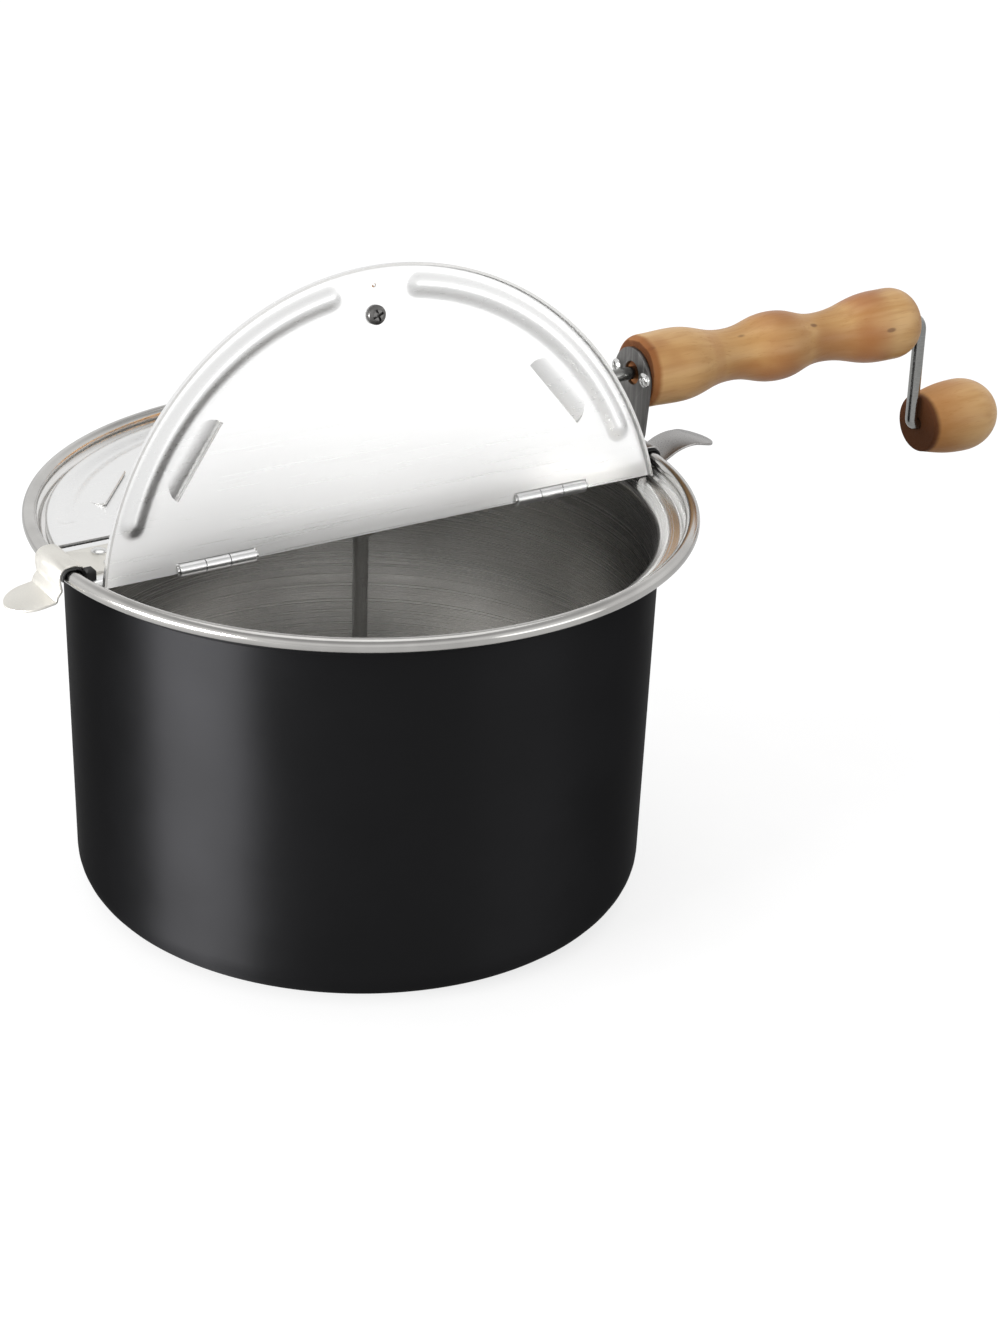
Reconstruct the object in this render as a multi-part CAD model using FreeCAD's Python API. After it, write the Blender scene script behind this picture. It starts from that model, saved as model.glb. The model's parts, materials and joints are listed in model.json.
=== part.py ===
"""Stovetop popcorn popper: a pot with a two-leaf lid on a crossbar, and a hand crank that turns a stirring wire.

Millimetres. +Z is up. The origin is the centre of the pot's base, on the surface that it stands on.
The handle and the crank lie along +X. The front leaf of the lid (-Y) stands open, the back leaf (+Y) is closed.
"""
import FreeCAD, Part

import math
import os

Vec = FreeCAD.Vector
UP = Vec(0, 0, 1)
X_AXIS = Vec(1, 0, 0)
Y_AXIS = Vec(0, 1, 0)

# ---------------------------------------------------------------- driving dimensions
# clearances
rest_gap = 0.3             # between a moving piece and what it rests against
running_gap = 0.08         # radial, shaft in its bearing
hole_gap = 0.04            # radial, fixed fastener in its hole

# pot
pot_height = 154.0
rim_radius = 125.0         # outside of the rolled bead
bead_radius = 2.7
wall_end_in = 1.0          # the wall ends inside the bead, this far in from its middle
wall_end_down = 0.9        # and this far under its middle
pot_wall = 1.5
shoulder_overhang = 14.0   # from the body's side, under the shoulder, out to the rim
wall_draft = 2.5           # how much narrower the body is above its bottom corner
base_corner = 15.0
ledge_depth = 7.0          # from the top of the bead down to the ledge that the lid rests on
ledge_margin = 2.0         # the ledge's middle line reaches this far past the lid's edge
ledge_bend = 1.8
shoulder_rise = 2.5        # the shoulder's height under the ledge
shoulder_run = 3.0         # how much wider the wall gets over it
shoulder_bend = 3.0

# lid leaves
lid_edge_gap = 3.0         # between the bead's inside and the lid's edge
lid_sheet = 0.9
lid_depth = 4.0            # middle of the sheet, under the top of the bead
hinge_offset = 20.0        # hinge axes from the middle plane
lid_lean = 8.4             # degrees past upright when a leaf stands open
lid_corner = 1.4           # bend of the down-turned edge
rib_inset = 7.9            # the rib's middle, in from the lid's edge
rib_width = 7.5
rib_depth = 1.8
rib_start = 21.5           # degrees from the hinge line
rib_end = 80.5
vent_inset = 19.8
vent_angle = 38.0          # degrees from the hinge line
vent_length = 29.0
vent_width = 7.0
vent_tilt = 21.0
vent_slit = 0.4
vent_end_draft = 4.0       # how much shorter the folded edge is at each end
vent_end_bulge = 1.2       # of each rounded end
lid_screw_inset = 17.9
pip_hole_inset = 7.3
pip_hole_radius = 0.9

# hinges
hinge_pin_radius = 1.0
knuckle_radius = 2.3
knuckle_length = 10.0
tongue_overlap = 1.0       # how far a knuckle's tongue runs into its leaf
hinge_position = 70.0      # hinge centres along the crossbar
hinge_head_radius = 1.8
hinge_head = 0.8

# lid knobs and their screws
lid_knob_height = 15.0
lid_knob_foot = 7.0
lid_knob_foot_edge = 1.0
lid_knob_neck = 5.2
lid_knob_neck_at = 4.5
lid_knob_head = 10.0
lid_knob_head_at = 10.8
lid_knob_flat = 3.0
lid_screw_shank = 1.9
lid_screw_length = 9.0
screw_tip_gap = 0.5
lid_screw_head = 3.6
lid_screw_head_height = 2.2
screw_bevel = 0.9          # of a screw head's outer edge

# crossbar
bar_sheet = 1.2
bar_top_depth = 3.4        # under the top of the bead
bar_knuckle_gap = 2.7      # from the hinge axis to the bar's edge
bar_end_gap = 2.6          # between the bar's end and the bead's inside

# rim clips
clip_sheet = 0.9
clip_width = 21.0
clip_foot_length = 22.0
clip_foot_bend = 0.8
clip_bend = 3.8
hook_depth = 4.5           # straight run of the hook's outer wall, under the top of the bead
groove_drop = 2.9          # from the end of that run to the bottom of the snap groove
groove_depth = 0.5
groove_bend = 1.0
ridge_rise = 1.2           # how far the ridge under the groove stands out past the hook
ridge_drop = 2.2           # from the bottom of the groove down to the ridge
ridge_run = 0.4            # over the ridge's face
ridge_fall = 1.8
tab_neck_run = 2.4         # over which the tab narrows, past the ridge
tab_left_run = 17.9        # the tip, past the rim
tab_left_drop = 14.0       # the tip, under the top of the bead
tab_right_run = 31.8
tab_right_drop = 5.2
tab_right_crest_run = 16.5
tab_right_crest_drop = 0.8
tab_right_half = 8.2
tab_right_nose = 11.5      # length of its rounded end
tab_root_lift = 0.4        # from the groove down to the root of the right tab
tab_root_bend = 1.6
tab_arch_bend = 20.0
pad_sheet = 0.5
pad_overhang = 1.2         # the pad shows past the clip's near edge
pad_lug_height = 4.0
pad_lug_length = 3.4
pad_lug_reach = 15.0       # the lug's near side, from the middle plane
pad_lug_round = 1.0
hook_slack = 0.3           # between the bead and the pad, so that the frame lifts straight off

# handle, its bracket and the crank
crank_axis_height = 29.0   # above the top of the bead
bracket_sheet = 1.5
bracket_foot_half = 9.3
bracket_foot_bend = 2.5
bracket_step_rise = 5.5    # where the plate turns upright, above the top of the bead
bracket_step_bend = 3.5
bracket_top_radius = 11.8
bracket_top_drop = 1.9     # the round top's centre, under the crank axis
bracket_rod_hole = 4.6
handle_length = 132.5
handle_swell = (14.4, 13.7, 14.3)          # radii, from the pot outwards
handle_swell_at = (17.0, 64.6, 116.0)      # from the handle's inner end
handle_waist = (10.2, 9.8)
handle_waist_at = (42.3, 85.8)
handle_edge = 2.8
handle_edge_run = 4.2      # over which the inner end rounds over
handle_edge_drop = 0.3     # and its radius under the first swell
handle_dome = 10.5         # length of the rounded outer end
handle_end_face = 5.6
handle_screw_spacing = 18.4
handle_screw_shank = 1.5
handle_screw_length = 14.0
handle_screw_head = 2.9
handle_screw_head_height = 1.6
rod_radius = 2.5
rod_bend = 5.4             # from the handle down into the arm
knob_bend = 3.0            # from the arm into the knob
arm_gap = 3.9              # between the handle's end and the crank's arm
arm_length = 46.3
crank_knob_face = 11.9
crank_knob_swell = 15.0
crank_knob_swell_at = 21.5
crank_knob_length = 38.0
crank_knob_edge = 0.9
crank_knob_flare = (7.5, 11.8)   # where the flare leaves its straight slope and reaches the swell's radius
knob_recess_radius = 5.4
knob_recess_depth = 6.0
push_nut_radius = 4.6
push_nut_height = 2.6
push_nut_crown = 1.3
push_nut_lip = 0.6
rod_stub_left = 0.6        # the rod's end, past its push nut
rod_stub_right = 0.4

# gear bracket and gears
gear_sheet = 1.6
gear_leg_left = -19.0      # middle of each leg
gear_leg_right = 27.0
gear_foot = 13.0
gear_foot_bend = 2.4
gear_top_bend = 5.0
gear_bracket_rise = 15.0   # from the crank axis to the middle of its top
gear_teeth = 16
gear_module = 1.25
gear_face = 5.0
gear_addendum = 1.0
gear_root_clearance = 0.35
gear_backlash = 0.3
tooth_sink = 0.6           # of a tooth's root in the blank
gear_rim = 2.4
gear_hub_radius = 6.5
gear_pin_radius = 1.0
tooth_slope = 20.0

# stirring shaft and wire
shaft_radius = 3.0
shaft_top_gap = 2.0        # under the crank rod
bush_radius = 5.0
bush_flange_radius = 8.0
bush_flange = 1.5
bush_length = 9.0          # below the flange
bush_nut_across = 13.0
bush_nut_height = 3.0
washer_radius = 6.5
washer_thickness = 0.8
retainer_radius = 5.6
retainer_thickness = 0.8
retainer_play = 0.05       # each side, in its groove
retainer_mouth = 3.2
groove_radius = 2.6
wire_radius = 1.5
wire_floor_gap = 0.6
wire_straight = 24.0
wire_curve = 75.0
wire_tip = 12.0
wire_tip_bend = 5.0
hub_radius = 7.0
hub_height = 16.0
hub_taper_at = 7.2         # from its lower end
hub_bevel = 1.5
hub_lip = 1.6              # its wall round the shaft, at its top
hub_floor_gap = 0.8
hub_cover = 1.0            # between the wire and the shaft's lower end

# rivets
rivet_radius = 1.6
rivet_head = 3.0
rivet_crown = 1.8          # radius of the head's flat top
rivet_head_height = 1.1
foot_rivet_inset = 13.0    # from the bar's end
foot_rivet_spacing = 11.0
gear_rivet_spacing = 14.0

# ---------------------------------------------------------------- places worked out from them
body_radius_top = rim_radius - shoulder_overhang
body_radius_base = body_radius_top - wall_draft
wire_reach = body_radius_base - base_corner              # where the flat floor ends
hinge_z = pot_height - lid_depth
bar_top = pot_height - bar_top_depth
bar_bottom = bar_top - bar_sheet
bar_half = hinge_offset - bar_knuckle_gap
crank_z = pot_height + crank_axis_height
ledge_z = pot_height - ledge_depth
bead_middle = rim_radius - bead_radius
bead_inner = rim_radius - 2 * bead_radius
lid_radius = bead_inner - lid_edge_gap
rib_radius = lid_radius - rib_inset
vent_radius = lid_radius - vent_inset
lid_screw_at = lid_radius - lid_screw_inset
pip_hole_at = lid_radius - pip_hole_inset
bar_end_radius = bead_inner - bar_end_gap
clip_foot_start = bar_end_radius - clip_foot_length
foot_rivet_at = bar_end_radius - foot_rivet_inset
rod_bore = rod_radius + running_gap
bracket_face = bead_inner + rest_gap                     # the bracket's outer face and the handle's inner end
handle_end = bracket_face + handle_length
arm_position = handle_end + arm_gap + rod_radius
knob_face = arm_position + knob_bend + rest_gap
knob_z = crank_z - arm_length
knob_tip = knob_face + crank_knob_length
gear_pitch_radius = gear_teeth * gear_module / 2


# ---------------------------------------------------------------- shape helpers
def rounded_path(corners):
    """Join (a, b, bend radius) corners in the XZ plane by straight runs and tangent arcs, as one open wire."""
    points = [Vec(a, 0, b) for a, b, _ in corners]
    chain = []
    reached = points[0]
    for i, (_, _, radius) in enumerate(corners):
        start = end = points[i]
        arc = None
        if radius > 0:
            before = (points[i - 1] - points[i]).normalize()
            after = (points[i + 1] - points[i]).normalize()
            half = before.getAngle(after) / 2
            start = points[i] + before * (radius / math.tan(half))
            end = points[i] + after * (radius / math.tan(half))
            inward = (before + after).normalize()
            nearest = points[i] + inward * (radius / math.sin(half) - radius)
            arc = Part.Arc(start, nearest, end).toShape()
        if reached.distanceToPoint(start) > 1e-6:
            chain.append(Part.LineSegment(reached, start).toShape())
        if arc:
            chain.append(arc)
        reached = end
    return Part.Wire(chain)


def sheet_face(corners, thickness):
    """A bent sheet's section: its middle line thickened evenly to both sides."""
    line = rounded_path(corners)
    inner = line.makeOffset2D(thickness / 2, join=0, fill=True, openResult=True)
    outer = line.makeOffset2D(-thickness / 2, join=0, fill=True, openResult=True)
    return inner.fuse(outer).removeSplitter()


def bent_strip(corners, thickness, y_from, y_to):
    """A strip of sheet metal, bent in the XZ plane and as wide as y_from to y_to."""
    face = sheet_face(corners, thickness)
    return solid(face.translated(Vec(0, y_from, 0)).extrude(Vec(0, y_to - y_from, 0)))


def solid(shape):
    """The shape as one clean solid."""
    merged = shape.removeSplitter()
    return merged.Solids[0] if len(merged.Solids) == 1 else merged


def cylinder(radius, length, base, direction=UP):
    return Part.makeCylinder(radius, length, base, direction)


def box(x, y, z):
    """A box from three (low, high) pairs."""
    return Part.makeBox(x[1] - x[0], y[1] - y[0], z[1] - z[0], Vec(x[0], y[0], z[0]))


def ring(outer, inner, length, base, direction=UP):
    return cylinder(outer, length, base, direction).cut(cylinder(inner, length, base, direction))


def turned(profile, base, direction):
    """Revolve a chain of edges, drawn as (distance along the axis, radius), about direction from base."""
    closing = []
    first = profile[0].Vertexes[0].Point
    last = profile[-1].Vertexes[-1].Point
    foot = Vec(first.x, 0, 0)
    head = Vec(last.x, 0, 0)
    for start, end in ((last, head), (head, foot), (foot, first)):
        if start.distanceToPoint(end) > 1e-6:
            closing.append(Part.LineSegment(start, end).toShape())
    face = Part.Face(Part.Wire(profile + closing))
    body = face.revolve(Vec(0, 0, 0), X_AXIS, 360)
    body.Placement = FreeCAD.Placement(base, FreeCAD.Rotation(X_AXIS, direction))
    return body


def straight(a, b):
    return Part.LineSegment(Vec(a[0], 0, a[1]), Vec(b[0], 0, b[1])).toShape()


def bezier(*points):
    curve = Part.BezierCurve()
    curve.setPoles([Vec(a, 0, b) for a, b in points])
    return curve.toShape()


def swell_curve(a, b):
    """An S-curve that leaves a and reaches b along the axis."""
    pull = 0.45 * (b[0] - a[0])
    return bezier(a, (a[0] + pull, a[1]), (b[0] - pull, b[1]), b)


def shoulder_curve(a, b):
    """A quarter round that leaves a along the axis and reaches b square to it."""
    bulge = 0.5523
    return bezier(a, (a[0] + bulge * (b[0] - a[0]), a[1]), (b[0], b[1] + bulge * (a[1] - b[1])), b)


def edge_curve(a, b):
    """A quarter round that leaves a square to the axis and reaches b along it."""
    bulge = 0.5523
    return bezier(a, (a[0], a[1] + bulge * (b[1] - a[1])), (b[0] - bulge * (b[0] - a[0]), b[1]), b)


def rod_along(wire, radius):
    """A round rod along a smooth wire."""
    start = wire.OrderedVertexes[0].Point
    tangent = wire.OrderedEdges[0].tangentAt(wire.OrderedEdges[0].FirstParameter)
    section = Part.Wire(Part.Circle(start, tangent, radius).toShape())
    return solid(wire.makePipeShell([section], True, False))


def rivet(x, y, low, high):
    """A rivet that clamps from low to high, with a bevelled head on each side."""
    pieces = [cylinder(rivet_radius, high - low, Vec(x, y, low))]
    for face, side in ((high, 1), (low, -1)):
        pieces.append(Part.makeCone(rivet_head, rivet_crown, rivet_head_height, Vec(x, y, face), Vec(0, 0, side)))
    return solid(pieces[0].multiFuse(pieces[1:]))


def pan_screw(base, inward, shank_radius, shank_length, head_radius, head_height):
    """A pan screw: its bevelled head stands on base, its shank runs inward."""
    back = Vec(0, 0, 0) - inward
    side_height = head_height - screw_bevel
    pieces = [cylinder(shank_radius, shank_length, base, inward),
              cylinder(head_radius, side_height, base, back),
              Part.makeCone(head_radius, head_radius - screw_bevel, screw_bevel, base + back * side_height, back)]
    return solid(pieces[0].multiFuse(pieces[1:]))


# ---------------------------------------------------------------- pot
def make_pot():
    half = pot_wall / 2
    ledge_line = ledge_z - half
    section = [(0, half, 0),
               (body_radius_base - half, half, base_corner - half),
               (body_radius_top - half, ledge_line - shoulder_rise, shoulder_bend),
               (body_radius_top + shoulder_run, ledge_line, shoulder_bend),
               (lid_radius + ledge_margin, ledge_line, ledge_bend),
               (bead_middle - wall_end_in, pot_height - bead_radius - wall_end_down, 0)]
    shell = sheet_face(section, pot_wall).revolve(Vec(0, 0, 0), UP, 360)
    bead = Part.makeTorus(bead_middle, bead_radius, Vec(0, 0, pot_height - bead_radius))
    return solid(shell.fuse(bead))


# ---------------------------------------------------------------- lid leaves
def lid_rib(side, mirror):
    """A pressed arc rib: what it adds under the sheet and the groove that it leaves on top."""
    ball = (rib_width ** 2 / 4 + rib_depth ** 2) / (2 * rib_depth)
    middle_z = hinge_z - lid_sheet / 2 + ball - rib_depth
    start = math.radians(rib_start)
    sweep = rib_end - rib_start
    shapes = []
    for radius in (ball, ball - lid_sheet):
        first = Vec(rib_radius * math.cos(start), rib_radius * math.sin(start), middle_z)
        circle = Part.Circle(first, Vec(-math.sin(start), math.cos(start), 0), radius)
        tube = Part.Face(Part.Wire(circle.toShape())).revolve(Vec(0, 0, 0), UP, sweep)
        end = math.radians(rib_end)
        last = Vec(rib_radius * math.cos(end), rib_radius * math.sin(end), middle_z)
        tube = tube.fuse([Part.makeSphere(radius, first), Part.makeSphere(radius, last)])
        if mirror:
            tube = tube.mirror(Vec(0, 0, 0), X_AXIS)
        if side < 0:
            tube = tube.mirror(Vec(0, 0, 0), Y_AXIS)
        shapes.append(tube)
    below = box((-lid_radius, lid_radius), (-lid_radius, lid_radius),
                (hinge_z - ball, hinge_z - lid_sheet / 4))
    return shapes[0].common(below), shapes[1]


def vent_outline(length, low, high):
    """The vent's outline: straight along its inner edge, rounded in towards the folded outer edge."""
    half = length / 2
    inner_left = Vec(-half, low, 0)
    inner_right = Vec(half, low, 0)
    outer_right = Vec(half - vent_end_draft, high, 0)
    outer_left = Vec(vent_end_draft - half, high, 0)
    end = half - vent_end_draft / 2 + vent_end_bulge
    middle = (low + high) / 2
    right = Part.Arc(inner_right, Vec(end, middle, 0), outer_right)
    left = Part.Arc(outer_left, Vec(-end, middle, 0), inner_left)
    edges = [Part.LineSegment(inner_left, inner_right).toShape(), right.toShape(),
             Part.LineSegment(outer_right, outer_left).toShape(), left.toShape()]
    return Part.Face(Part.Wire(edges))


def lid_vent(side, mirror):
    """A lanced vent: the window through the sheet and the flap that is tilted out of it."""
    half = vent_width / 2
    window = vent_outline(vent_length, -half, half).extrude(Vec(0, 0, 4 * lid_sheet))
    window.translate(Vec(0, 0, -2 * lid_sheet))
    flap = vent_outline(vent_length - 2 * vent_slit, vent_slit - half, half + lid_sheet)
    flap = flap.extrude(Vec(0, 0, lid_sheet)).translated(Vec(0, 0, -lid_sheet / 2))
    flap.rotate(Vec(0, half, 0), X_AXIS, -vent_tilt)
    turn = vent_angle - 90
    for shape in (window, flap):
        shape.translate(Vec(0, vent_radius, hinge_z))
        shape.rotate(Vec(0, 0, 0), UP, turn)
    shapes = [window, flap]
    if mirror:
        shapes = [shape.mirror(Vec(0, 0, 0), X_AXIS) for shape in shapes]
    if side < 0:
        shapes = [shape.mirror(Vec(0, 0, 0), Y_AXIS) for shape in shapes]
    return shapes


def knuckle(x_from, x_to, side):
    return cylinder(knuckle_radius, x_to - x_from, Vec(x_from, side * hinge_offset, hinge_z), X_AXIS)


def knuckle_tongue(x_from, x_to, y_from, y_to, middle_z, thickness):
    low, high = sorted((y_from, y_to))
    return box((x_from, x_to), (low, high), (middle_z - thickness / 2, middle_z + thickness / 2))


def make_half_lid(side):
    """One leaf, closed. side is -1 for the front leaf and 1 for the back one."""
    edge_line = lid_radius - lid_sheet / 2
    section = [(0, hinge_z, 0), (edge_line, hinge_z, lid_corner), (edge_line, ledge_z + rest_gap, 0)]
    disc = sheet_face(section, lid_sheet).revolve(Vec(0, 0, 0), UP, 360)
    straight_edge = hinge_offset + knuckle_radius + rest_gap
    keep = box((-rim_radius, rim_radius), sorted((side * straight_edge, side * rim_radius)),
               (0, 2 * pot_height))
    leaf = disc.common(keep)
    for mirror in (False, True):
        rib, groove = lid_rib(side, mirror)
        leaf = leaf.fuse(rib).cut(groove)
        window, flap = lid_vent(side, mirror)
        leaf = leaf.cut(window).fuse(flap)
    inner_half = knuckle_length / 2 - rest_gap
    for x in (-hinge_position, hinge_position):
        leaf = leaf.fuse([knuckle(x - inner_half, x + inner_half, side),
                          knuckle_tongue(x - inner_half, x + inner_half, side * hinge_offset,
                                         side * (straight_edge + tongue_overlap), hinge_z, lid_sheet)])
    pin_bore = hinge_pin_radius + running_gap
    cuts = [cylinder(pin_bore, 2 * lid_radius, Vec(-lid_radius, side * hinge_offset, hinge_z), X_AXIS)]
    for radius, at in ((lid_screw_shank + hole_gap, lid_screw_at), (pip_hole_radius, pip_hole_at)):
        cuts.append(cylinder(radius, 4 * lid_sheet, Vec(0, side * at, hinge_z - 2 * lid_sheet)))
    return solid(leaf.cut(cuts))


def make_lid_knob(side):
    """A turned knob on the outside of a leaf, with a blind hole for its screw."""
    foot = Vec(0, side * lid_screw_at, hinge_z + lid_sheet / 2)
    foot_end = (lid_knob_foot_edge, lid_knob_foot)
    neck = (lid_knob_neck_at, lid_knob_neck)
    head = (lid_knob_head_at, lid_knob_head)
    profile = [straight((0, lid_knob_foot), foot_end), swell_curve(foot_end, neck), swell_curve(neck, head),
               shoulder_curve(head, (lid_knob_height, lid_knob_flat))]
    knob = turned(profile, foot, UP)
    hole_depth = lid_screw_length - lid_sheet + screw_tip_gap
    return solid(knob.cut(cylinder(lid_screw_shank + hole_gap, hole_depth, foot)))


def make_lid_screw(side):
    seat = Vec(0, side * lid_screw_at, hinge_z - lid_sheet / 2)
    return pan_screw(seat, UP, lid_screw_shank, lid_screw_length, lid_screw_head, lid_screw_head_height)


def stand_open(shape):
    """Turn a piece of the front leaf from closed to its open place."""
    shape = shape.copy()
    shape.rotate(Vec(0, -hinge_offset, hinge_z), X_AXIS, -(90 + lid_lean))
    return shape


def make_hinge_pins():
    """Headed pins, one through each hinge."""
    half = 1.5 * knuckle_length + rest_gap / 2
    pins = []
    for side in (-1, 1):
        for x in (-hinge_position, hinge_position):
            middle = Vec(x, side * hinge_offset, hinge_z)
            pin = cylinder(hinge_pin_radius, 2 * half, middle - X_AXIS * half, X_AXIS)
            left = cylinder(hinge_head_radius, hinge_head, middle - X_AXIS * (half + hinge_head), X_AXIS)
            right = cylinder(hinge_head_radius, hinge_head, middle + X_AXIS * half, X_AXIS)
            pins.append(solid(pin.fuse([left, right])))
    return Part.makeCompound(pins)


# ---------------------------------------------------------------- crossbar, clips and pads
def foot_rivet_places(side):
    return [(side * foot_rivet_at, y) for y in (-foot_rivet_spacing / 2, foot_rivet_spacing / 2)]


def gear_rivet_places():
    left = gear_leg_left - gear_foot / 2
    right = gear_leg_right + gear_foot / 2
    return [(x, y) for x in (left, right) for y in (-gear_rivet_spacing / 2, gear_rivet_spacing / 2)]


def make_crossbar():
    """A channel across the pot, with two hinge knuckles for each leaf at each side of their own."""
    flange_bottom = ledge_z + rest_gap
    web = box((-rim_radius, rim_radius), (-bar_half, bar_half), (bar_bottom, bar_top))
    pieces = []
    for side in (-1, 1):
        y_range = sorted((side * bar_half, side * (bar_half - bar_sheet)))
        pieces.append(box((-rim_radius, rim_radius), y_range, (flange_bottom, bar_top)))
    bar = web.fuse(pieces)
    bar = bar.common(cylinder(bar_end_radius, pot_height, Vec(0, 0, pot_height / 2)))
    outer_half = 1.5 * knuckle_length
    inner_half = 0.5 * knuckle_length
    knuckles = []
    for side in (-1, 1):
        for x in (-hinge_position, hinge_position):
            for x_from, x_to in ((x - outer_half, x - inner_half), (x + inner_half, x + outer_half)):
                knuckles.append(knuckle(x_from, x_to, side))
                knuckles.append(knuckle_tongue(x_from, x_to, side * hinge_offset, side * (bar_half - bar_sheet),
                                               (bar_top + bar_bottom) / 2, bar_sheet))
    bar = bar.fuse(knuckles)
    cuts = [cylinder(bush_radius + hole_gap, pot_height, Vec(0, 0, pot_height / 2))]
    for side in (-1, 1):
        cuts.append(cylinder(hinge_pin_radius + hole_gap, 2 * rim_radius,
                             Vec(-rim_radius, side * hinge_offset, hinge_z), X_AXIS))
    for x, y in foot_rivet_places(-1) + foot_rivet_places(1) + gear_rivet_places():
        cuts.append(cylinder(rivet_radius + hole_gap, pot_height, Vec(x, y, pot_height / 2)))
    return solid(bar.cut(cuts))


# the clip's walls, as the middle line of its sheet
pad_inner_x = bar_end_radius + rest_gap                  # between the clip's upright and its pad
clip_inner_x = pad_inner_x - clip_sheet / 2
pad_outer_x = rim_radius + hook_slack + pad_sheet
clip_outer_x = pad_outer_x + clip_sheet / 2
pad_top = pot_height + rest_gap + pad_sheet
clip_top = pad_top + clip_sheet / 2
clip_foot_z = bar_top + clip_sheet / 2
groove_z = pot_height - hook_depth - groove_drop
groove_x = clip_outer_x - groove_depth
ridge_x = clip_outer_x + ridge_rise
tab_start = ridge_x + tab_neck_run
tab_left_reach = rim_radius + tab_left_run
tab_right_reach = rim_radius + tab_right_run


def tab_outline(reach, half, nose):
    """The clip's shape seen from above: parallel sides and, over its last stretch, a round nose."""
    shoulder = clip_width / 2
    near = [Vec(reach - nose, -half, 0), Vec(tab_start, -half, 0), Vec(clip_outer_x, -shoulder, 0),
            Vec(clip_foot_start, -shoulder, 0)]
    far = [Vec(corner.x, -corner.y, 0) for corner in reversed(near)]
    tip = Part.Arc(far[-1], Vec(reach, 0, 0), near[0]).toShape()
    edges = Part.makePolygon(near + far).Edges + [tip]
    return Part.Face(Part.Wire(edges)).extrude(UP * 2 * pot_height)


def left_tab_line():
    """The left tab drops straight away from the ridge under the snap groove."""
    ridge_z = groove_z - ridge_drop
    return [(ridge_x, ridge_z, groove_bend),
            (ridge_x + ridge_run, ridge_z - ridge_fall, groove_bend),
            (tab_left_reach, pot_height - tab_left_drop, 0)]


def right_tab_line():
    """The right tab turns up from the groove and arches over to its tip."""
    return [(ridge_x + ridge_rise, groove_z - tab_root_lift, tab_root_bend),
            (rim_radius + tab_right_crest_run, pot_height - tab_right_crest_drop, tab_arch_bend),
            (tab_right_reach, pot_height - tab_right_drop, 0)]


def make_clip(side):
    """A spring clip: riveted foot, hook over the bead, snap groove under it and a finger tab."""
    corners = [(clip_foot_start, clip_foot_z, 0),
               (clip_inner_x, clip_foot_z, clip_foot_bend),
               (clip_inner_x, clip_top, clip_bend),
               (clip_outer_x, clip_top, clip_bend),
               (clip_outer_x, pot_height - hook_depth, groove_bend),
               (groove_x, groove_z, groove_bend)]
    half = clip_width / 2
    if side < 0:
        corners += left_tab_line()
        outline = tab_outline(tab_left_reach, half, half)
    else:
        corners += right_tab_line()
        outline = tab_outline(tab_right_reach, tab_right_half, tab_right_nose)
    clip = bent_strip(corners, clip_sheet, -half, half).common(outline)
    for x, y in foot_rivet_places(1):
        clip = clip.cut(cylinder(rivet_radius + hole_gap, pot_height, Vec(x, y, pot_height / 2)))
    clip = solid(clip)
    return clip.mirror(Vec(0, 0, 0), X_AXIS) if side < 0 else clip


def make_rim_pad(side):
    """The black pad between a clip and the bead, with a raised lug beside the clip's foot."""
    half = pad_sheet / 2
    inner_x = pad_inner_x + half
    outer_x = pad_outer_x - half
    top_z = pad_top - half
    bend = clip_bend - clip_sheet / 2 - half
    corners = [(inner_x, bar_top + rest_gap, 0),
               (inner_x, top_z, bend),
               (outer_x, top_z, bend),
               (outer_x, pot_height - hook_depth + 2 * pad_sheet, 0)]
    near = -(clip_width / 2 + pad_overhang)
    lining = bent_strip(corners, pad_sheet, near, clip_width / 2)
    lug = box((inner_x + half - pad_lug_length, inner_x + half), (-pad_lug_reach, -(clip_width / 2 + rest_gap)),
              (bar_top, bar_top + pad_lug_height))
    lug = lug.makeFillet(pad_lug_round, [edge for edge in lug.Edges if edge.BoundBox.ZMin > bar_top])
    clear = cylinder(bead_inner - rest_gap, pot_height, Vec(0, 0, pot_height / 2))
    pad = solid(lining.fuse(lug.common(clear)))
    return pad.mirror(Vec(0, 0, 0), X_AXIS) if side < 0 else pad


def make_foot_rivets():
    """Rivets through each clip's foot and, under the handle, through the bracket's foot as well."""
    left_top = bar_top + clip_sheet
    right_top = left_top + bracket_sheet
    rivets = [rivet(x, y, bar_bottom, left_top) for x, y in foot_rivet_places(-1)]
    rivets += [rivet(x, y, bar_bottom, right_top) for x, y in foot_rivet_places(1)]
    return Part.makeCompound(rivets)


# ---------------------------------------------------------------- handle and its bracket
def handle_screw_places():
    return (-handle_screw_spacing / 2, handle_screw_spacing / 2)


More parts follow.
